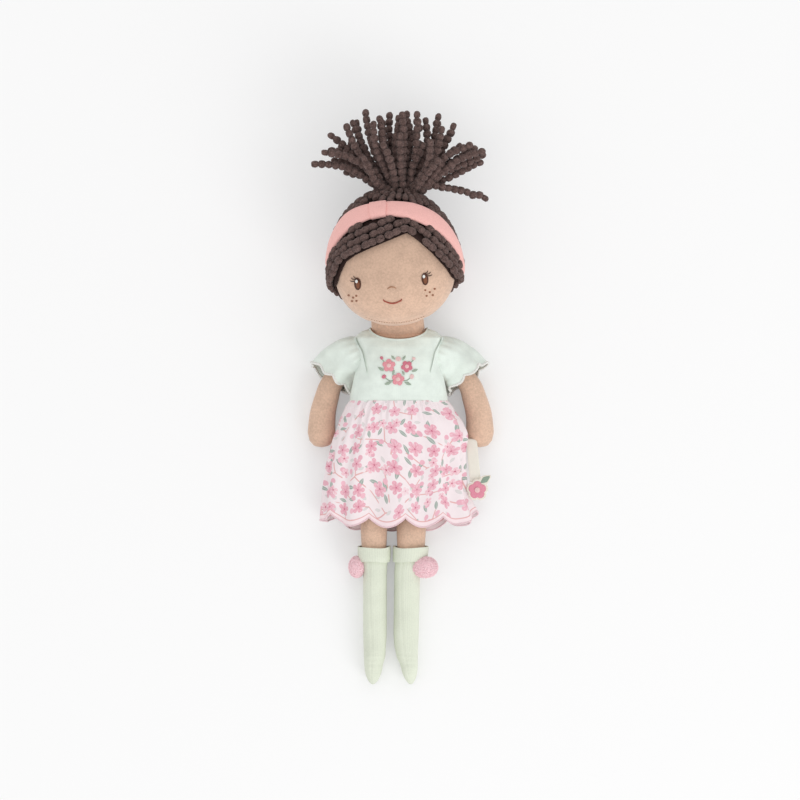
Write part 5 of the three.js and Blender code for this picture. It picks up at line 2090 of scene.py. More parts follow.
    def strand(self, bm: bmesh.types.BMesh, line: Path, seed: float) -> None:
        """Strings tufts of yarn along a line, smaller at its foot and its tip.

        Args:
            bm: The mesh that takes them.
            line: The strand's line.
            seed: Sets the tufts' wobble.
        """
        count = max(6, round(line.length() / (self.tail_bead * 0.92)))
        lowest = -HEAD.centre.z + self.strand_radius * 1.05
        strand = bmesh.new()
        for i in range(count):
            share = (i + 0.3) / (count - 0.4)
            along = line.along(share)
            _, upward = cross_axes(along)
            roll = Matrix.Rotation(seed + i * 1.1, 3, along)
            near_foot = mix(0.72, 1.0, smooth(share / 0.22))
            size = self.strand_radius * near_foot * (0.86 if i == count - 1 else 1.0)
            size *= 1 + 0.07 * math.sin(seed + i * 2.3)
            middle = line.at(share)
            middle.z = max(middle.z, lowest)
            half = Vector((self.tail_bead * 0.56, size, size * 0.94))
            yarn_bead(strand, middle, along, roll @ upward, half, seed + i * 0.9, 10, 6)
        merge_into(bm, strand)

    def tie(self) -> bmesh.types.BMesh:
        """Winds two turns of yarn round the foot of the ponytail.

        Returns:
            The mesh of its tufts.
        """
        bm = bmesh.new()
        line = HAIR.pinch.normalized()
        across, upward = cross_axes(line)
        start = HEAD.shell(line, HAIR.yarn_start).length + 1.6 * MM
        for turn in range(self.tie_turns):
            for i in range(self.tie_tufts):
                angle = TAU * (i + 0.5 * turn) / self.tie_tufts
                out = across * math.cos(angle) + upward * math.sin(angle)
                round_line = upward * math.cos(angle) - across * math.sin(angle)
                radius = self.tie_radius * (1 - 0.14 * turn)
                middle = line * (start + turn * 3.1 * MM) + out * radius
                yarn_bead(bm, middle, round_line, out, Vector((2.3, 1.75, 1.7)) * MM, i * 1.3 + turn, 10, 6)
        return bm


@dataclass
class Headband(Maker):
    """The padded headband, and the short loop of the same cloth wrapped round it.

    Each wide side is its angle, its reach round the head, and the share of the width that it adds.
    """

    loop_angle: float = math.atan2(20.0, -6.6)
    loop_reach: float = 0.2
    loop_skin: float = 0.7 * MM
    wide_sides: tuple = ((2.75, 0.55, 0.3), (0.75, 0.5, 0.18))
    side_shift: float = 1.3 * MM
    fullness: float = 2.5

    def band_frame(self, angle: float) -> tuple[Vector, Vector, Vector]:
        """The band's middle line, outward direction and upward direction at an angle round the head.

        Args:
            angle: The angle, 90 degrees in front.

        Returns:
            The point, the outward and the upward direction.
        """
        middle = HAIR.band_point(angle, HAIR.yarn_start)
        ahead = HAIR.band_point(angle + 0.03, HAIR.yarn_start)
        along = (ahead - middle).normalized()
        outward = HEAD.outward(middle)
        upward = outward.cross(along).normalized()
        if upward.y < 0:
            upward = -upward
        return middle, outward, upward

    def ring(self, columns: int, span: tuple[float, float], rise: float, width: float, thickness: float,
             ripple: float, pinch: float) -> bmesh.types.BMesh:
        """A padded strip along the band's line.

        Args:
            columns: Faces along it.
            span: The angles it starts and ends at.
            rise: How far its inner face stands over the yarn's base.
            width: Its full width.
            thickness: Its thickness at the middle.
            ripple: The depth of its soft folds.
            pinch: The share of its width that is lost under the loop.

        Returns:
            The strip, closed where it meets itself.
        """
        frames = {}

        def place(u: float, v: float) -> Vector:
            """The point of the strip at a share along it and a share round its section.

            Args:
                u: The share along it.
                v: The share round its section.

            Returns:
                The point.
            """
            at = mix(*span, u)
            key = round(u, 6)
            if key not in frames:
                frames[key] = self.band_frame(at)
            middle, outward, upward = frames[key]
            side, out = rounded(v * TAU, self.fullness)
            fold = ripple * wave(3.1, u * 46, side * 2.2) * max(out, 0.0)
            lift = thickness / 2 * (1 + out) + rise + fold
            bells = [bell(at - angle, reach) for angle, reach, _ in self.wide_sides]
            spread = 1 - pinch * math.exp(-(((at - self.loop_angle) * 3.4) ** 2))
            for bump, (_, _, share) in zip(bells, self.wide_sides):
                spread += share * bump
            return middle + outward * lift + upward * (side * (width / 2 * spread) + self.side_shift * bells[0])

        return surface(columns, 28, place, (0.24, width * 2))

    def build(self, finish: Finishes) -> None:
        """Makes the headband and its loop in their finish.

        Args:
            finish: The doll's finishes.
        """
        width, thickness = HAIR.band_width, HAIR.band_thickness
        band = self.ring(220, (0.0, TAU), 0.2 * MM, width, thickness, 0.35 * MM, 0.1)
        self.stuffed("headband_padded", to_head(band), finish["band_velour"], "headband", 0.6)
        ends = (self.loop_angle - self.loop_reach, self.loop_angle + self.loop_reach)
        wrap = self.ring(24, ends, 0.1 * MM, width * 0.93, thickness + 0.3 * MM, 0.2 * MM, 0.0)
        bmesh.ops.solidify(wrap, geom=wrap.faces[:], thickness=-self.loop_skin)
        loop = self.piece("headband_wrap", to_head(wrap), finish["band_velour"], ["headband_loop"])
        self.sheet(loop, (31, 22), "folded", ["headband_padded"])


@dataclass
class Dress(Maker):
    """The jersey top with its neckline, sleeves and embroidery."""

    cloth: float = 0.8 * MM
    stand_off: float = 1.15 * MM
    sleeve_length: float = 25 * MM
    sleeve_hem_radius: float = 15 * MM
    sleeve_hem_depth: float = 12.9 * MM
    sleeve_wave: float = 1.7 * MM
    sleeve_scallop: float = 2.9 * MM
    sleeve_head: float = 0.26
    head_reach: float = 2.0 * MM
    head_lift: float = 6.6 * MM
    front_cut: float = 0.2
    edging_radius: float = 0.8 * MM
    sleeve_rows: int = 90
    along_arm: float = 0.36
    along_hem: float = 0.6
    gathers: int = 17
    gather_depth: float = 0.4 * MM
    soft_depth: float = 0.5 * MM
    puff_depth: float = 0.8 * MM
    crown_rise: float = 2.4 * MM
    posy_middle: tuple[float, float] = (-1.4 * MM, 17.6 * MM)

    def build(self, finish: Finishes) -> None:
        """Makes the top, its binding, the posy and the sleeves in their finishes.

        Args:
            finish: The doll's finishes.
        """
        self.bodice(finish)
        self.binding(finish)
        self.posy(finish)
        for side in Side:
            self.sleeve(side, finish)

    def opening(self, point: Vector) -> float:
        """How far a point lies inside the neckline or an armhole.

        Args:
            point: A point of the bodice.

        Returns:
            The depth, negative on the cloth that stays.
        """
        front = point.z > TORSO.depth / 2
        dip = TORSO.neckline_dip * (1.0 if front else 0.5)
        away = math.hypot((point.x - TORSO.centre_x) / TORSO.neckline_half_width,
                          (point.y - WAIST_Y - TORSO.shoulder - TORSO.seam_gap) / dip)
        neck = (1 - away) * dip
        over = point.y - WAIST_Y - TORSO.shoulder
        arms = max(shoulder.depth(point, 0.2 * MM) for shoulder in SHOULDERS.values())
        return max(neck, over, arms)

    def bodice(self, finish: Finishes) -> None:
        """Makes the jersey of the chest and the back, trimmed at the armholes and the neckline.

        Args:
            finish: The doll's finishes.
        """

        def place(u: float, v: float) -> Vector:
            """The point of the jersey, with its tucks at the waist.

            Args:
                u: The share round it.
                v: The share from the waist to the shoulders.

            Returns:
                The point.
            """
            height = mix(-1.2 * MM, TORSO.shoulder + 0.6 * MM, v)
            point = TORSO.point(u, height, self.stand_off)
            tuck = bell(height - 1.5 * MM, 6 * MM)
            pull = 0.4 * MM * tuck * math.sin(u * TAU * 9 + wave(2, u * 9, v) * 1.3)
            drag = 0.45 * MM * wave(5, u * 17 + v * 4, v * 5)
            outward = Vector((point.x - TORSO.centre_x, 0, point.z - TORSO.depth / 2)).normalized()
            return point + outward * (pull * 0.5 + drag * 0.6 if point.z > 3 * MM else 0.0)

        bm = surface(180, 74, place, (0.175, 0.045))
        bm = thicken(facing_out(trimmed(bm, self.opening), Vector((0, WAIST_Y + 20 * MM, TORSO.depth / 2))), self.cloth)
        made = self.piece("bodice_jersey", bm, finish["mint_jersey"], ["bodice"])
        self.sheet(made, (160, 46), "laid", ["torso_stuffed"])

    def neck_edge(self, share: float, offset: float, inset: float = 0.0) -> Vector:
        """The point of the neckline, or of a line inset from it.

        Args:
            share: The share of the way round.
            offset: How far it stands off the torso.
            inset: How far it lies inside the neckline.

        Returns:
            The point.
        """
        angle = share * TAU
        x = TORSO.centre_x + (TORSO.neckline_half_width - inset) * math.cos(angle)
        front = math.sin(angle) < 0
        dip = TORSO.neckline_dip * (1.0 if front else 0.5)
        y = WAIST_Y + TORSO.shoulder - abs(math.sin(angle)) * (dip - inset)
        return TORSO.front(x, y, offset, 1 if front else -1)

    def ring(self, places: Callable[[float], Vector], count: int) -> Path:
        """A closed line through places that are given for each share of the way round.

        Args:
            places: Gives the point at a share of the way round.
            count: The places taken.

        Returns:
            The line.
        """
        line = Path([places((i - 1) / count) for i in range(count + 3)])
        whole = count + 2
        return Path([line.at(mix(1 / whole, 1 - 1 / whole, i / (2 * count))) for i in range(2 * count + 1)])

    def binding(self, finish: Finishes) -> None:
        """Makes the narrow turned edge round the neckline.

        Args:
            finish: The doll's finishes.
        """
        for name, key, offset, inset, radius, sides, nodes in (
            ("turned", "mint_binding", 0.05, 0.0, 0.55, 10, ["neckline_binding"]),
            ("lining", "nose_thread", -0.35, 0.75, 0.26, 6, ()),
        ):
            bm = bmesh.new()
            line = self.ring(lambda share: self.neck_edge(share, self.stand_off + offset * MM, inset * MM), 96)
            add_tube(bm, line, radius * MM, 240, sides)
            self.piece(f"neckline_{name}_edge", bm, finish[key], nodes)

    def on_chest(self, x: float, y: float, rise: float) -> Vector:
        """The point over the bodice at a height of embroidery, about the posy's middle."""
        px, py = self.posy_middle
        return TORSO.front(px + x, WAIST_Y + py + y, self.stand_off + 0.1 * MM + rise)

    def posy(self, finish: Finishes) -> None:
        """Makes the embroidered posy: an open wreath of three round flowers, buds and leaves.

        Args:
            finish: The doll's finishes.
        """
        flowers = ((-5.4, 3.4, 4.0), (5.6, 2.8, 3.6), (0.2, -5.0, 3.9))
        small = ((0.4, 7.4, 1.7), (-8.4, -3.4, 1.4), (8.6, -3.4, 1.5), (-9.8, 8.0, 1.1), (9.8, 7.6, 1.1))
        leaves = ((-10.2, 1.2, 4.4, 150), (-2.6, -0.8, 3.4, 250), (10.4, 0.4, 4.2, 20), (3.4, -1.2, 3.2, 300),
                  (-5.8, -7.4, 4.8, 200), (6.2, -7.6, 4.8, 340), (-2.8, 8.2, 3.6, 130), (3.8, 8.0, 3.6, 55))
        rose, pink, pale, sage = bmesh.new(), bmesh.new(), bmesh.new(), bmesh.new()
        for i, (x, y, radius) in enumerate(flowers):
            outline, heart = petals(radius * MM, 5, 18 + 31 * i, 0.34), oval(radius * 0.36 * MM, radius * 0.34 * MM)
            lens(rose if i == 1 else pink, (x * MM, y * MM), outline, 0.75 * MM, self.on_chest, 60, 10)
            lens(pale, (x * MM, y * MM), heart, 1.15 * MM, self.on_chest, 20, 8)
        for i, (x, y, radius) in enumerate(small):
            outline = oval(radius * MM, radius * 0.85 * MM, 40 * i)
            lens(rose if i % 2 else pale, (x * MM, y * MM), outline, 0.65 * MM, self.on_chest, 20, 8)
        for x, y, length, turn in leaves:
            lens(sage, (x * MM, y * MM), leaf(length * MM, length * 0.4 * MM, turn), 0.55 * MM, self.on_chest, 32, 8)
        stems = (((-9.4, 7.0), (-7.8, 5.2), (-5.4, 3.4)), ((9.6, 6.7), (7.9, 5.0), (5.6, 2.8)),
                 ((-8.4, -3.4), (-4.6, -5.9), (0.2, -5.0)), ((8.6, -3.4), (4.8, -5.9), (0.2, -5.0)))
        for stem in stems:
            add_tube(sage, Path([self.on_chest(x * MM, y * MM, 0.05 * MM) for x, y in stem]), 0.3 * MM, 14, 6)
        for name, bm, key in (("flowers", pink, "pink_thread"), ("rose_flower", rose, "rose_thread"),
                              ("hearts", pale, "pale_thread"), ("leaves", sage, "sage_thread")):
            self.piece(f"posy_{name}", bm, finish[key], ["bodice_posy"] if bm is pink else ())

    def sleeve_point(self, side: Side, share: float, angle: float, inwards: float) -> Vector:
        """The point of a sleeve at a share of its length and an angle round it.

        Args:
            side: The sleeve's side.
            share: Below 0 on the sleeve's head over the bodice, 0 at the armhole, 1 at the hem.
            angle: The angle round it; 90 degrees is the front.
            inwards: How far inside its outer face.

        Returns:
            The point.
        """
        shoulder = SHOULDERS[side]
        axis = shoulder.axis
        out = max(share, 0.0)
        reach = out * (1 - self.front_cut * smooth((math.sin(angle) + 0.25) / 1.1))
        hem_axis = shoulder.hem_axis
        along = axis.lerp(hem_axis, min(1.0, out * 1.2)).normalized()
        centre = shoulder.start + axis * (self.sleeve_length * self.along_arm * reach * (2 - reach))
        centre += hem_axis * (self.sleeve_length * self.along_hem * reach)
        across = Vector((-along.y, along.x, 0)).normalized()
        swell = out ** 0.8
        waves = self.sleeve_wave * out * math.cos(5 * angle + side.value)
        gather = self.gather_depth * (1 - smooth(out / 0.6)) * smooth((share + 0.1) / 0.2)
        gather *= math.sin(self.gathers * angle + 2)
        soft = self.soft_depth * out * wave(8 + side.value, math.cos(angle) * 2.4, math.sin(angle) * 2.4 + out * 3)
        puff = self.puff_depth * math.sin(math.pi * min(max((share + self.sleeve_head) / 0.7, 0.0), 1.0))
        crown = self.crown_rise * max(across.y * math.cos(angle), 0.0) * math.sin(math.pi * min(out * 1.1, 1.0))
        more = waves + gather + soft + puff + crown - inwards
        radius = mix(shoulder.armhole, self.sleeve_hem_radius, swell) + more
        depth = mix(shoulder.armhole, self.sleeve_hem_depth, swell) + more
        scallop = self.sleeve_scallop * math.sqrt(math.sin(4 * angle) ** 2 + 0.04) * out ** 3
        scallop *= 0.3 + 0.7 * math.sin(angle) ** 2
        point = centre + across * (radius * math.cos(angle)) + Vector((0, 0, depth * math.sin(angle)))
        point += hem_axis * scallop
        point.z += self.head_lift * (1 - smooth(out / 0.7)) * max(math.sin(angle), 0.0) ** 0.7
        if share < 0:
            part = min(-share / self.sleeve_head, 1.0)
            top = across.y * math.cos(angle)
            point -= axis * (self.head_reach * part * smooth((0.9 - top) / 0.9))
            if math.sin(angle) > 0:
                chest = TORSO.front(point.x, point.y, self.stand_off + 0.9 * MM).z - inwards
                point.z = mix(point.z, max(chest, point.z), smooth(part * 1.3))
        point.z = max(point.z, TORSO.seam_gap + inwards)
        return point

    def sleeve(self, side: Side, finish: Finishes) -> None:
        """Makes one sleeve and the overcast edging of its hem, which follow the arm.

        Args:
            side: The sleeve's side.
            finish: The doll's finishes.
        """
        shoulder = SHOULDERS[side]
        label = side.label

        def place(u: float, v: float) -> Vector:
            """The point of the cloth, down its outer layer and back up its inner one."""
            outside, share = layer_at(v, self.sleeve_rows)
            return self.sleeve_point(side, mix(-self.sleeve_head, 1.0, share), u * TAU, 0.0 if outside else self.cloth)

        def flat(u: float, v: float) -> tuple[float, float]:
            """The place on the flat cloth, in metres."""
            return u * 0.086, (v if v < 0.5 else 1 - v) * 0.066

        bm = surface(192, self.sleeve_rows, place, flat)
        cloth = self.piece(f"sleeve_{label}_jersey", bm, finish["mint_jersey"], [f"sleeve_{label}"], "")
        self.sheet(cloth, (94, 34), "gathered", [f"arm_{label}_stuffed"])
        below = shoulder.hem_axis * 0.35 * MM
        line = self.ring(lambda at: self.sleeve_point(side, 1.0, TAU * at, self.cloth / 2) + below, 240)
        edge = bmesh.new()
        add_tube(edge, line, lambda at: self.edging_radius * (1 + 0.14 * math.cos(at * TAU * 118)), 590, 8)
        trim = self.piece(f"sleeve_{label}_overcast", edge, finish["white_thread"], [f"sleeve_edging_{label}"], "")
        end = shoulder.middle + shoulder.axis * 11 * MM
        for piece in (cloth, trim):
            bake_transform(piece, "torso", f"arm_{label}", shoulder.middle + shoulder.axis * 0.2 * MM, end)


@dataclass
class Skirt(Maker):
    """The print skirt in two halves that follow the legs, its overcast hem, and the label in its side.

    The shares hold a share of the length, how far it has spread, and how much of the waist's height is left.
    Each pleat is its place round the skirt, its drift, its depth in millimetres, its width and where it fades.
    """

    length: float = 77.5 * MM
    scallop: float = 6 * MM
    scallops: int = 9
    middle_cusp: float = 0.48
    waist: float = 30.1 * MM
    waist_front: float = 39.55 * MM
    hem_half_width: float = 47.5 * MM
    hem_height: float = 22 * MM
    fullness: float = 2.4
    cloth: float = 0.8 * MM
    seam_gap: float = 0.35 * MM
    back_drop: float = 2.6 * MM
    side_rise: float = 4 * MM
    legs_middle: float = -4.1 * MM
    waist_round: float = 165 * MM
    hem_round: float = 232 * MM
    shares: tuple = ((0, 0, 1), (0.06, 0.14, 1.01), (0.18, 0.36, 0.97), (0.36, 0.6, 0.78), (0.58, 0.8, 0.46),
                     (0.8, 0.93, 0.16), (1, 1, 0))
    pleats: tuple = ((0.372, 0.0, 1.5, 0.009, 0.34), (0.398, 0.004, 1.2, 0.007, 0.3), (0.455, -0.01, 0.6, 0.012, 0.5),
                     (0.618, 0.02, 1.3, 0.009, 0.6), (0.646, 0.03, 0.9, 0.008, 0.4), (0.69, 0.012, 1.6, 0.014, 1.4),
                     (0.31, -0.008, 1.4, 0.014, 1.4), (0.545, 0.01, 0.6, 0.01, 0.4))
    side_pull: float = 4.8 * MM
    side_swell: float = 3.6 * MM
    folds: int = 12
    fold_depth: float = 1.3 * MM
    gather_depth: float = 0.3 * MM
    drift_depth: float = 0.7 * MM
    rise_shares: tuple = ((0, 0.0), (0.16, 0.4), (0.28, 0.75), (0.46, 0.97), (0.6, 1.0))
    label_x: float = 40.4 * MM
    label_top: float = -23.5 * MM
    label_length: float = 27.5 * MM
    label_width: float = 6.7 * MM
    label_z: float = 13.6 * MM
    label_thickness: float = 0.9 * MM
    charm_z: float = 15.3 * MM
    stops: int = 720
    turns: list[float] = field(default_factory=list, init=False)

    def __post_init__(self) -> None:
        """Finds the angles that cut the hem into even steps, from the middle of the back round to it again."""
        count = 2 * self.stops
        angles = [-math.pi / 2 + TAU * i / count for i in range(count + 1)]
        points = [rounded(angle, self.fullness) for angle in angles]
        reach = [0.0]
        for (x0, y0), (x1, y1) in zip(points, points[1:]):
            reach.append(reach[-1] + math.hypot((x1 - x0) * self.hem_half_width, (y1 - y0) * self.hem_height / 2))
        for i in range(self.stops + 1):
            goal = reach[-1] * i / self.stops
            index = min(max(bisect.bisect_right(reach, goal) - 1, 0), count - 1)
            part = (goal - reach[index]) / (reach[index + 1] - reach[index])
            self.turns.append(mix(angles[index], angles[index + 1], part))

    def point(self, share: float, round_share: float, inwards: float) -> Vector:
        """The point of the skirt at a share of its length and a share round it.

        Args:
            share: 0 at the waist, 1 at the hem.
            round_share: 0 and 1 in the middle of the back, 0.5 in the middle of the front.
            inwards: How far inside its outer face.

        Returns:
            The point.
        """
        at = (round_share % 1.0) * self.stops
        index = min(int(at), self.stops - 1)
        angle = mix(self.turns[index], self.turns[index + 1], at - index)
        spread, lift = read_table(self.shares, share)
        half_width = mix(self.waist, self.hem_half_width, spread)
        front = mix(self.hem_height, self.waist_front, lift)
        aside = max(0.0, math.cos(angle))
        pull = self.side_pull * math.sin(math.pi * share ** 2.2) * aside
        pull -= self.side_swell * bell(share - 0.27, 0.14) * aside
        folds = self.fold_depth * min(1.0, share * 1.6 + 0.06) * math.cos(self.folds * angle)
        gathers = self.gather_depth * smooth(share / 0.03) * (1 - smooth((share - 0.04) / 0.22))
        folds += gathers * (math.sin(43 * angle + 2 * wave(4, angle * 3, 1)) + 0.4 * math.sin(71 * angle))
        drift_wave = wave(6, math.cos(angle) * 4 + 3, math.sin(angle) * 3 + share * 1.4)
        folds += self.drift_depth * smooth(share / 0.3) * drift_wave
        for start, drift, depth, width, fade in self.pleats:
            t = (round_share - start - drift * share) / width
            folds -= 1.5 * depth * MM * t * math.exp(-t * t) * (1 - smooth(share / fade)) * smooth(share / 0.03 + 0.3)
        across, upward = rounded(angle, self.fullness)
        x = TORSO.centre_x + across * (half_width - pull - inwards + folds)
        z = front / 2 + upward * (front / 2 - inwards + folds)
        cusps = abs(math.sin(math.pi * self.scallops * (round_share - self.middle_cusp))) ** 0.85
        drop = share * (self.length - self.scallop - self.seam_gap) + self.scallop * cusps * share ** 4
        drop += self.back_drop * share ** 2 * smooth(-math.sin(angle)) - self.side_rise * share ** 2 * abs(across) ** 3
        return Vector((x, WAIST_Y - self.seam_gap - drop, max(z, self.seam_gap + inwards)))

    def build(self, finish: Finishes) -> None:
        """Makes both halves of the skirt with their hems, and the label with its charm.

        Args:
            finish: The doll's finishes.
        """
        for side in Side:
            self.half(side, finish)
        self.label(finish)

    def half(self, side: Side, finish: Finishes) -> None:
        """Makes one half of the skirt, from the middle between the legs outwards, and its part of the hem.

        Args:
            side: The half's side.
            finish: The doll's finishes.
        """

        def flat(u: float, v: float) -> tuple[float, float]:
            """The place on the flat cloth, in metres, wider towards the hem."""
            return (u - 0.5) * mix(self.waist_round, self.hem_round, 1 - v) + 0.3, v * self.length

        bm = surface(480, 84, lambda u, v: self.point(1 - v, u, 0.0), flat)
        plane = dict(plane_co=Vector((self.legs_middle, 0, 0)), plane_no=Vector((-side.value, 0, 0)), clear_outer=True)
        bmesh.ops.bisect_plane(bm, geom=bm.verts[:] + bm.edges[:] + bm.faces[:], dist=1e-6, **plane)
        middle = Vector((self.legs_middle, WAIST_Y - self.length / 2, self.hem_height / 2))
        bm = thicken(facing_out(bm, middle), self.cloth)
        label = side.label
        cloth = self.piece(f"skirt_{label}_print", bm, finish["ditsy_cotton"], ["skirt"], "")
        self.sheet(cloth, (132, 80), "gathered", ["torso_stuffed"])
        count = self.stops
        whole = [self.point(1.0, i / count, self.cloth / 2) - Vector((0, 0.35 * MM, 0)) for i in range(count)]
        aside = [(point.x - self.legs_middle) * side.value for point in whole]
        first = next(i for i in range(count) if aside[i - 1] < 0 <= aside[i])
        order = [(first + i) % count for i in range(count)]
        line = [whole[i] for i in order if aside[i] >= 0]
        for end in (line[0], line[-1]):
            end.x = self.legs_middle
        edge = bmesh.new()
        add_tube(edge, Path(line), lambda at: 0.6 * MM * (1 + 0.12 * math.cos(at * TAU * 125)), 625, 7)
        hem = self.piece(f"skirt_{label}_overcast", edge, finish["hem_thread"], ["skirt_hem"], "")
        for piece in (cloth, hem):
            self.follow(piece, side)

    def follow(self, piece: bpy.types.Object, side: Side) -> None:
        """Lets the front of a half rise with its leg, more towards the hem and not at all between the legs.

        Args:
            piece: The half, or its hem.
            side: The half's side.
        """
        hip = LegForm(side)
        start = Vector((0, WAIST_Y + hip.hip_y + 10 * MM, 0))
        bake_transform(piece, "torso", f"leg_{side.label}", start, start - Vector((0, 50 * MM, 0)))
        weights = piece.data.attributes["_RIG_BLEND"].data
        for vert, weight in zip(piece.data.vertices, weights):
            below = WAIST_Y + hip.hip_y + 8 * MM - vert.co.y
            drop = read_table(self.rise_shares, below * 10)[0]
            front = smooth((vert.co.z - 3 * MM) / (12 * MM))
            aside = smooth((vert.co.x - self.legs_middle) * side.value / (6 * MM))
            weight.value = drop * front * aside

    def label(self, finish: Finishes) -> None:
        """Makes the tape sewn into the side seam and the felt flower that hangs from it.

        Args:
            finish: The doll's finishes.
        """
        x, top = self.label_x, WAIST_Y + self.label_top
        width, length, level = self.label_width, self.label_length, self.label_z + self.label_thickness / 2

        def tape(u: float, v: float) -> Vector:
            """The point of the tape, its ends closed.

            Args:
                u: The share round its section.
                v: The share along it.

            Returns:
                The point.
            """
            across, upward = rounded(u * TAU, 7.0)
            shrink = 1.0 if 0 < v < 1 else 0.0
            corner = 1.9 * MM * (1 - smooth(v / 0.1)) ** 2
            wide = (width - corner) / 2
            px = x + width / 2 - corner / 2 + across * wide * shrink + 2.6 * MM * v
            rise = upward * self.label_thickness / 2 * shrink + 0.3 * MM * math.sin(v * 3)
            return Vector((px, top - v * length, level + rise))

        strip = self.piece("side_tape", surface(40, 30, tape), finish["side_tape"], ["label"], "label")
        self.sheet(strip, (2 * width / MM, length / MM), "hung")
        self.charm(finish, (x + 7.0 * MM, top - length - 4.2 * MM))

    def charm(self, finish: Finishes, place: tuple[float, float]) -> None:
        """Makes the felt flower with its leaf, on a backing that shows a margin.

        Args:
            finish: The doll's finishes.
            place: The flower's middle, seen from the front.
        """
        x, y = place

        def lay(height: float) -> Callable[[float, float, float], Vector]:
            """Lays a pad level at a height over the charm's back."""
            return lambda px, py, rise: Vector((px, py, self.charm_z + height + rise))

        margin, bloom, green, heart = bmesh.new(), bmesh.new(), bmesh.new(), bmesh.new()
        for bm, right, up, outline, proud, level, columns, rows, fullness in (
            (margin, 0.0, 0, petals(6.8 * MM, 5, 90, 0.2), 0.9, 0.0, 90, 10, 5.0),
            (margin, 4.2, 6, leaf(10.5 * MM, 6 * MM, 35), 0.9, 0.0, 48, 10, 5.0),
            (bloom, 0.0, 0, petals(5.5 * MM, 5, 90, 0.26), 0.6, 0.7, 90, 10, 4.0),
            (green, 4.8, 6.4, leaf(7.4 * MM, 3.6 * MM, 35), 0.6, 0.6, 40, 8, 4.0),
            (heart, 0.0, 0, oval(1.7 * MM, 1.7 * MM), 0.9, 1.1, 28, 8, 3.0),
        ):
            lens(bm, (x + right * MM, y + up * MM), outline, proud * MM, lay(level * MM), columns, rows, fullness)
        backing = self.piece("charm_margin", margin, finish["cream_felt"], ["charm"], "label")
        self.sheet(backing, (17, 22), "hung")
        for name, bm, key in (("flower", bloom, "rose_felt"), ("leaf", green, "sage_felt"),
                              ("heart", heart, "pale_thread")):
            self.piece(f"charm_{name}", bm, finish[key], (), "label")


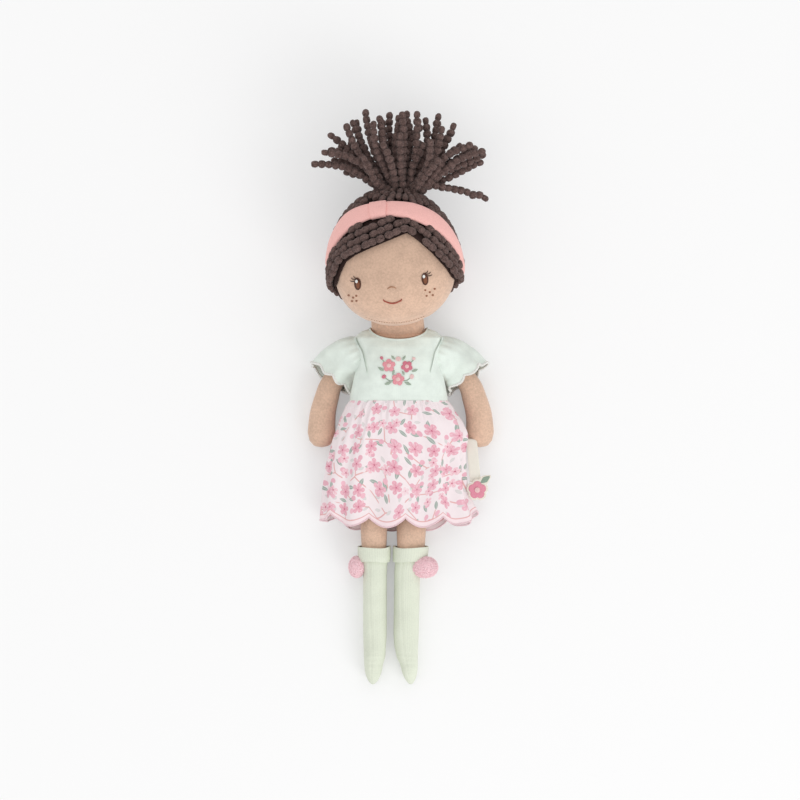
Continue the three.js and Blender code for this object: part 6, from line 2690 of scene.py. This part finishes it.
@dataclass
class Sock(Maker):
    """A knitted sock with a folded cuff, and the pompom tied at its outer side."""

    side: Side = Side.RIGHT
    knit: float = 1.15 * MM
    low: float = 0.05 * MM
    rows: int = 241
    hidden_top: float = 2.5 * MM
    under_cuff: float = 0.45 * MM
    ruck_depth: float = 0.4 * MM
    seam_depth: float = 0.32 * MM
    toe_ridge: float = 0.16 * MM
    toe_cap: float = 9.0 * MM
    toe_share: float = 0.88
    toe_flat: float = 0.35
    cuff: float = 9.6 * MM
    cuff_drop: float = 1.3 * MM
    cuff_bow: float = 1.1 * MM
    cuff_extra: float = 1.1 * MM
    pompom_radius: float = 6.9 * MM
    tufts: int = 930
    tufts_at_once: int = 31
    core_share: float = 0.97
    foot_share: float = 0.8
    lean: float = 0.24

    @property
    def form(self) -> LegForm:
        """The leg that it is drawn over."""
        return LegForm(self.side)

    @property
    def top(self) -> float:
        """The drop of its top below the hip joint."""
        return self.form.sock_top + self.form.hip_y

    def build(self, finish: Finishes) -> None:
        """Makes the sock, its cuff and its pompom in their finishes.

        Args:
            finish: The doll's finishes.
        """
        label, form, top = self.side.label, self.form, self.top
        cloth = (0.056, 2 * (form.length - top + 2.2 * MM))
        tube = surface(96, self.rows, self.leg_point, cloth)
        body = self.piece(f"sock_{label}_leg", tube, finish["sock_knit"], [f"sock_{label}"])
        self.sheet(body, (60, 96), "stretched", [f"leg_{label}_stuffed"])
        centre = Vector((form.centre_x + self.side.value * form.spread, WAIST_Y + form.hip_y - top, 8 * MM))
        ring = thicken(facing_out(surface(96, 22, self.cuff_point, (0.06, self.cuff)), centre), self.cuff_extra)
        turned = self.piece(f"sock_{label}_cuff", ring, finish["sock_knit"])
        self.sheet(turned, (66, 13), "folded", [f"sock_{label}_leg"])
        self.pompom(finish, form)

    def leg_point(self, u: float, v: float) -> Vector:
        """The point of the sock, whose cloth has an outer and an inner layer.

        Args:
            u: The share round the leg.
            v: The share of the way down the outer layer and back up the inner one.

        Returns:
            The point.
        """
        form, offset = self.form, self.knit + TORSO.seam_gap
        outside, v = layer_at(v, self.rows)
        last = form.length - self.toe_cap
        drop = min(mix(self.top + self.hidden_top, last, v / self.toe_share), last)
        angle = max(v - self.toe_share, 0.0) / (1 - self.toe_share) * math.pi / 2
        away, floor = (offset, self.low) if outside else (offset - self.knit, self.low + self.knit)
        floor += self.under_cuff * (1 - smooth((drop - self.top - 11.5 * MM) / (3 * MM)))
        reach = (self.toe_cap + away) * math.sin(angle)
        point = form.point(u, drop + reach * self.toe_flat, away, floor, max(math.cos(angle), 0.0))
        x, y = 1.5 * math.cos(u * TAU), 1.5 * math.sin(u * TAU)
        ruck = self.ruck_depth * wave(3 + self.side.value, x + v * 3, y + v * 14)
        seam = self.seam_depth * bell(u - 0.3 - 0.02 * math.sin(v * 6), 0.012)
        toe = self.toe_ridge * math.sin(v * 160) * smooth((v - 0.72) / 0.1)
        lift = (ruck - seam + toe) * math.cos(angle) * smooth((point.z - 3 * MM) / (3 * MM))
        point.z = max(point.z + lift, floor)
        return point - Vector((0, reach * (1 - self.toe_flat), 0))

    def cuff_point(self, u: float, v: float) -> Vector:
        """The point of the cuff at a share round it and a share down it.

        Args:
            u: The share round it.
            v: The share down it.

        Returns:
            The point.
        """
        flare = 0.35 * MM * v + 0.4 * MM * math.sin(v * math.pi)
        edge = self.cuff_drop + self.cuff_bow * max(math.sin(u * TAU), 0.0) ** 2
        drop = self.top + mix(edge, self.cuff + self.cuff_drop, v)
        drop += 0.3 * MM * math.sin(u * TAU * 3 + self.side.value)
        return self.form.point(u, drop, self.knit + TORSO.seam_gap + self.cuff_extra + flare, self.low)

    def pompom(self, finish: Finishes, form: LegForm) -> None:
        """Makes the pompom: a ball of cut yarn ends round a core.

        Args:
            finish: The doll's finishes.
            form: The leg that it hangs beside.
        """
        side = self.side.value
        radius = self.pompom_radius
        right = self.side is Side.RIGHT
        shape = Vector((0.72, 0.95, 0.95)) if right else Vector((1.16, 0.95, 0.95))
        x = form.centre_x + side * form.spread + side * (10.7 * MM if right else 7.6 * MM)
        centre = Vector((x, WAIST_Y - form.sock_top - 14 * MM, 9.6 * MM if right else 0.86 * form.thickness))
        chance = random.Random(31 + side)
        bm = bmesh.new()
        core = bmesh.ops.create_icosphere(bm, subdivisions=3, radius=radius * self.core_share)
        for vert in core["verts"]:
            vert.co = centre + vert.co * shape
        bunch = bmesh.new()
        for i in range(self.tufts):
            height = 1 - 2 * (i + 0.5) / self.tufts
            turn = i * math.pi * (3 - math.sqrt(5)) + chance.uniform(-0.12, 0.12)
            level = math.sqrt(1 - height * height)
            away = Vector((level * math.cos(turn), level * math.sin(turn), height))
            lean = Vector([chance.uniform(-self.lean, self.lean) for _ in range(3)])
            foot = centre + away * shape * (radius * self.foot_share)
            tip = centre + (away + lean).normalized() * shape * (radius * chance.uniform(1.0, 1.05))
            tip.z = max(tip.z, 0.1 * MM)
            along = (tip - foot).normalized()
            across, upward = cross_axes(along)
            turned = Matrix((across, upward, along)).transposed().to_4x4()
            turned.translation = (foot + tip) / 2
            bmesh.ops.create_cone(bunch, cap_ends=True, cap_tris=False, segments=6, radius1=0.4 * MM,
                                  radius2=0.46 * MM, depth=(tip - foot).length, matrix=turned)
            if (i + 1) % self.tufts_at_once == 0:
                merge_into(bm, bunch)
                bunch = bmesh.new()
        merge_into(bm, bunch)
        label = self.side.label
        self.piece(f"pompom_{label}_tufts", bm, finish["pompom_yarn"], [f"pompom_{label}"])


@dataclass
class Studio:
    """The camera over the doll, the pale floor and the soft light."""

    middle: tuple[float, float] = (0.0, -18 * MM)
    frame_width: float = 488 * MM
    frame_level: float = 30 * MM
    distance: float = 3.0
    sensor: float = 36.0
    floor_size: float = 8.0
    floor_lift: float = 0.35

    def camera(self) -> bpy.types.Object:
        """Makes the camera that looks straight down on the doll.

        Returns:
            The camera.
        """
        data = bpy.data.cameras.new("camera")
        data.sensor_width = self.sensor
        data.lens = self.sensor * (self.distance - self.frame_level) / self.frame_width
        data.clip_end = 30
        made = bpy.data.objects.new("camera", data)
        made.location = (*self.middle, self.distance)
        bpy.context.scene.collection.objects.link(made)
        bpy.context.scene.camera = made
        return made

    def floor(self) -> bpy.types.Object:
        """Makes the white floor, which the camera sees brighter than the doll does.

        Returns:
            The floor.
        """
        bm = bmesh.new()
        bmesh.ops.create_grid(bm, x_segments=1, y_segments=1, size=self.floor_size / 2)
        mesh = bpy.data.meshes.new("floor")
        bm.to_mesh(mesh)
        bm.free()
        made = bpy.data.objects.new("floor", mesh)
        bpy.context.scene.collection.objects.link(made)
        shader = Shader("white_floor")
        pale = (0.93, 0.93, 0.93)
        mesh.materials.append(shader.finish(pale, None, 1.0, 0.0, 0.0))
        seen = shader.node("ShaderNodeLightPath", {}, {}, "Is Camera Ray") * self.floor_lift
        glow = shader.node("ShaderNodeEmission", {}, {"Color": pale, "Strength": 1.0})
        lit = Value(shader, shader.surface.outputs[0])
        shader.feed(shader.output.inputs[0], shader.node("ShaderNodeMixShader", {}, {0: seen, 1: lit, 2: glow}))
        return made

    def lamp(self, name: str, place: tuple[float, float, float], size: float, power: float) -> bpy.types.Object:
        """Makes a soft square lamp that looks at the doll.

        Args:
            name: Its name.
            place: Where it stands.
            size: Its side.
            power: Its power in watts.

        Returns:
            The lamp.
        """
        data = bpy.data.lights.new(name, "AREA")
        data.size = size
        data.energy = power
        made = bpy.data.objects.new(name, data)
        made.location = place
        made.rotation_euler = (Vector((0, 0, 0.02)) - Vector(place)).to_track_quat("-Z", "Y").to_euler()
        bpy.context.scene.collection.objects.link(made)
        return made

    def build(self) -> None:
        """Makes the studio and sets the world's light."""
        self.camera()
        world = bpy.data.worlds.new("studio")
        world.use_nodes = True
        background = world.node_tree.nodes["Background"]
        background.inputs["Color"].default_value = (1.0, 1.0, 1.0, 1.0)
        background.inputs["Strength"].default_value = 0.84
        bpy.context.scene.world = world
        bpy.context.scene.view_settings.view_transform = "Standard"
        self.floor()
        self.lamp("key", (1.6, -1.9, 1.5), 1.6, 25.0)
        self.lamp("fill", (-1.3, -0.4, 2.1), 1.6, 3.5)
        self.lamp("crown", (0.2, 1.9, 2.0), 1.6, 4.0)


def main() -> None:
    """Builds the doll and its studio."""
    logging.basicConfig(level=logging.INFO, format="%(relativeCreated)d ms: %(message)s")
    finish = finishes()
    Studio().build()
    Torso("plush", "torso").build(finish)
    Head("plush", "head").build(finish)
    Hair("yarn", "head").build(finish)
    Headband("band_cloth", "head").build(finish)
    Dress("jersey", "torso").build(finish)
    Skirt("printed_cotton", "torso").build(finish)
    for side in Side:
        Arm("plush", f"arm_{side.label}", side).build(finish)
        Leg("plush", f"leg_{side.label}", side).build(finish)
        Sock("sock_knit", f"sock_{side.label}", side).build(finish)


if __name__ == "__main__":
    main()
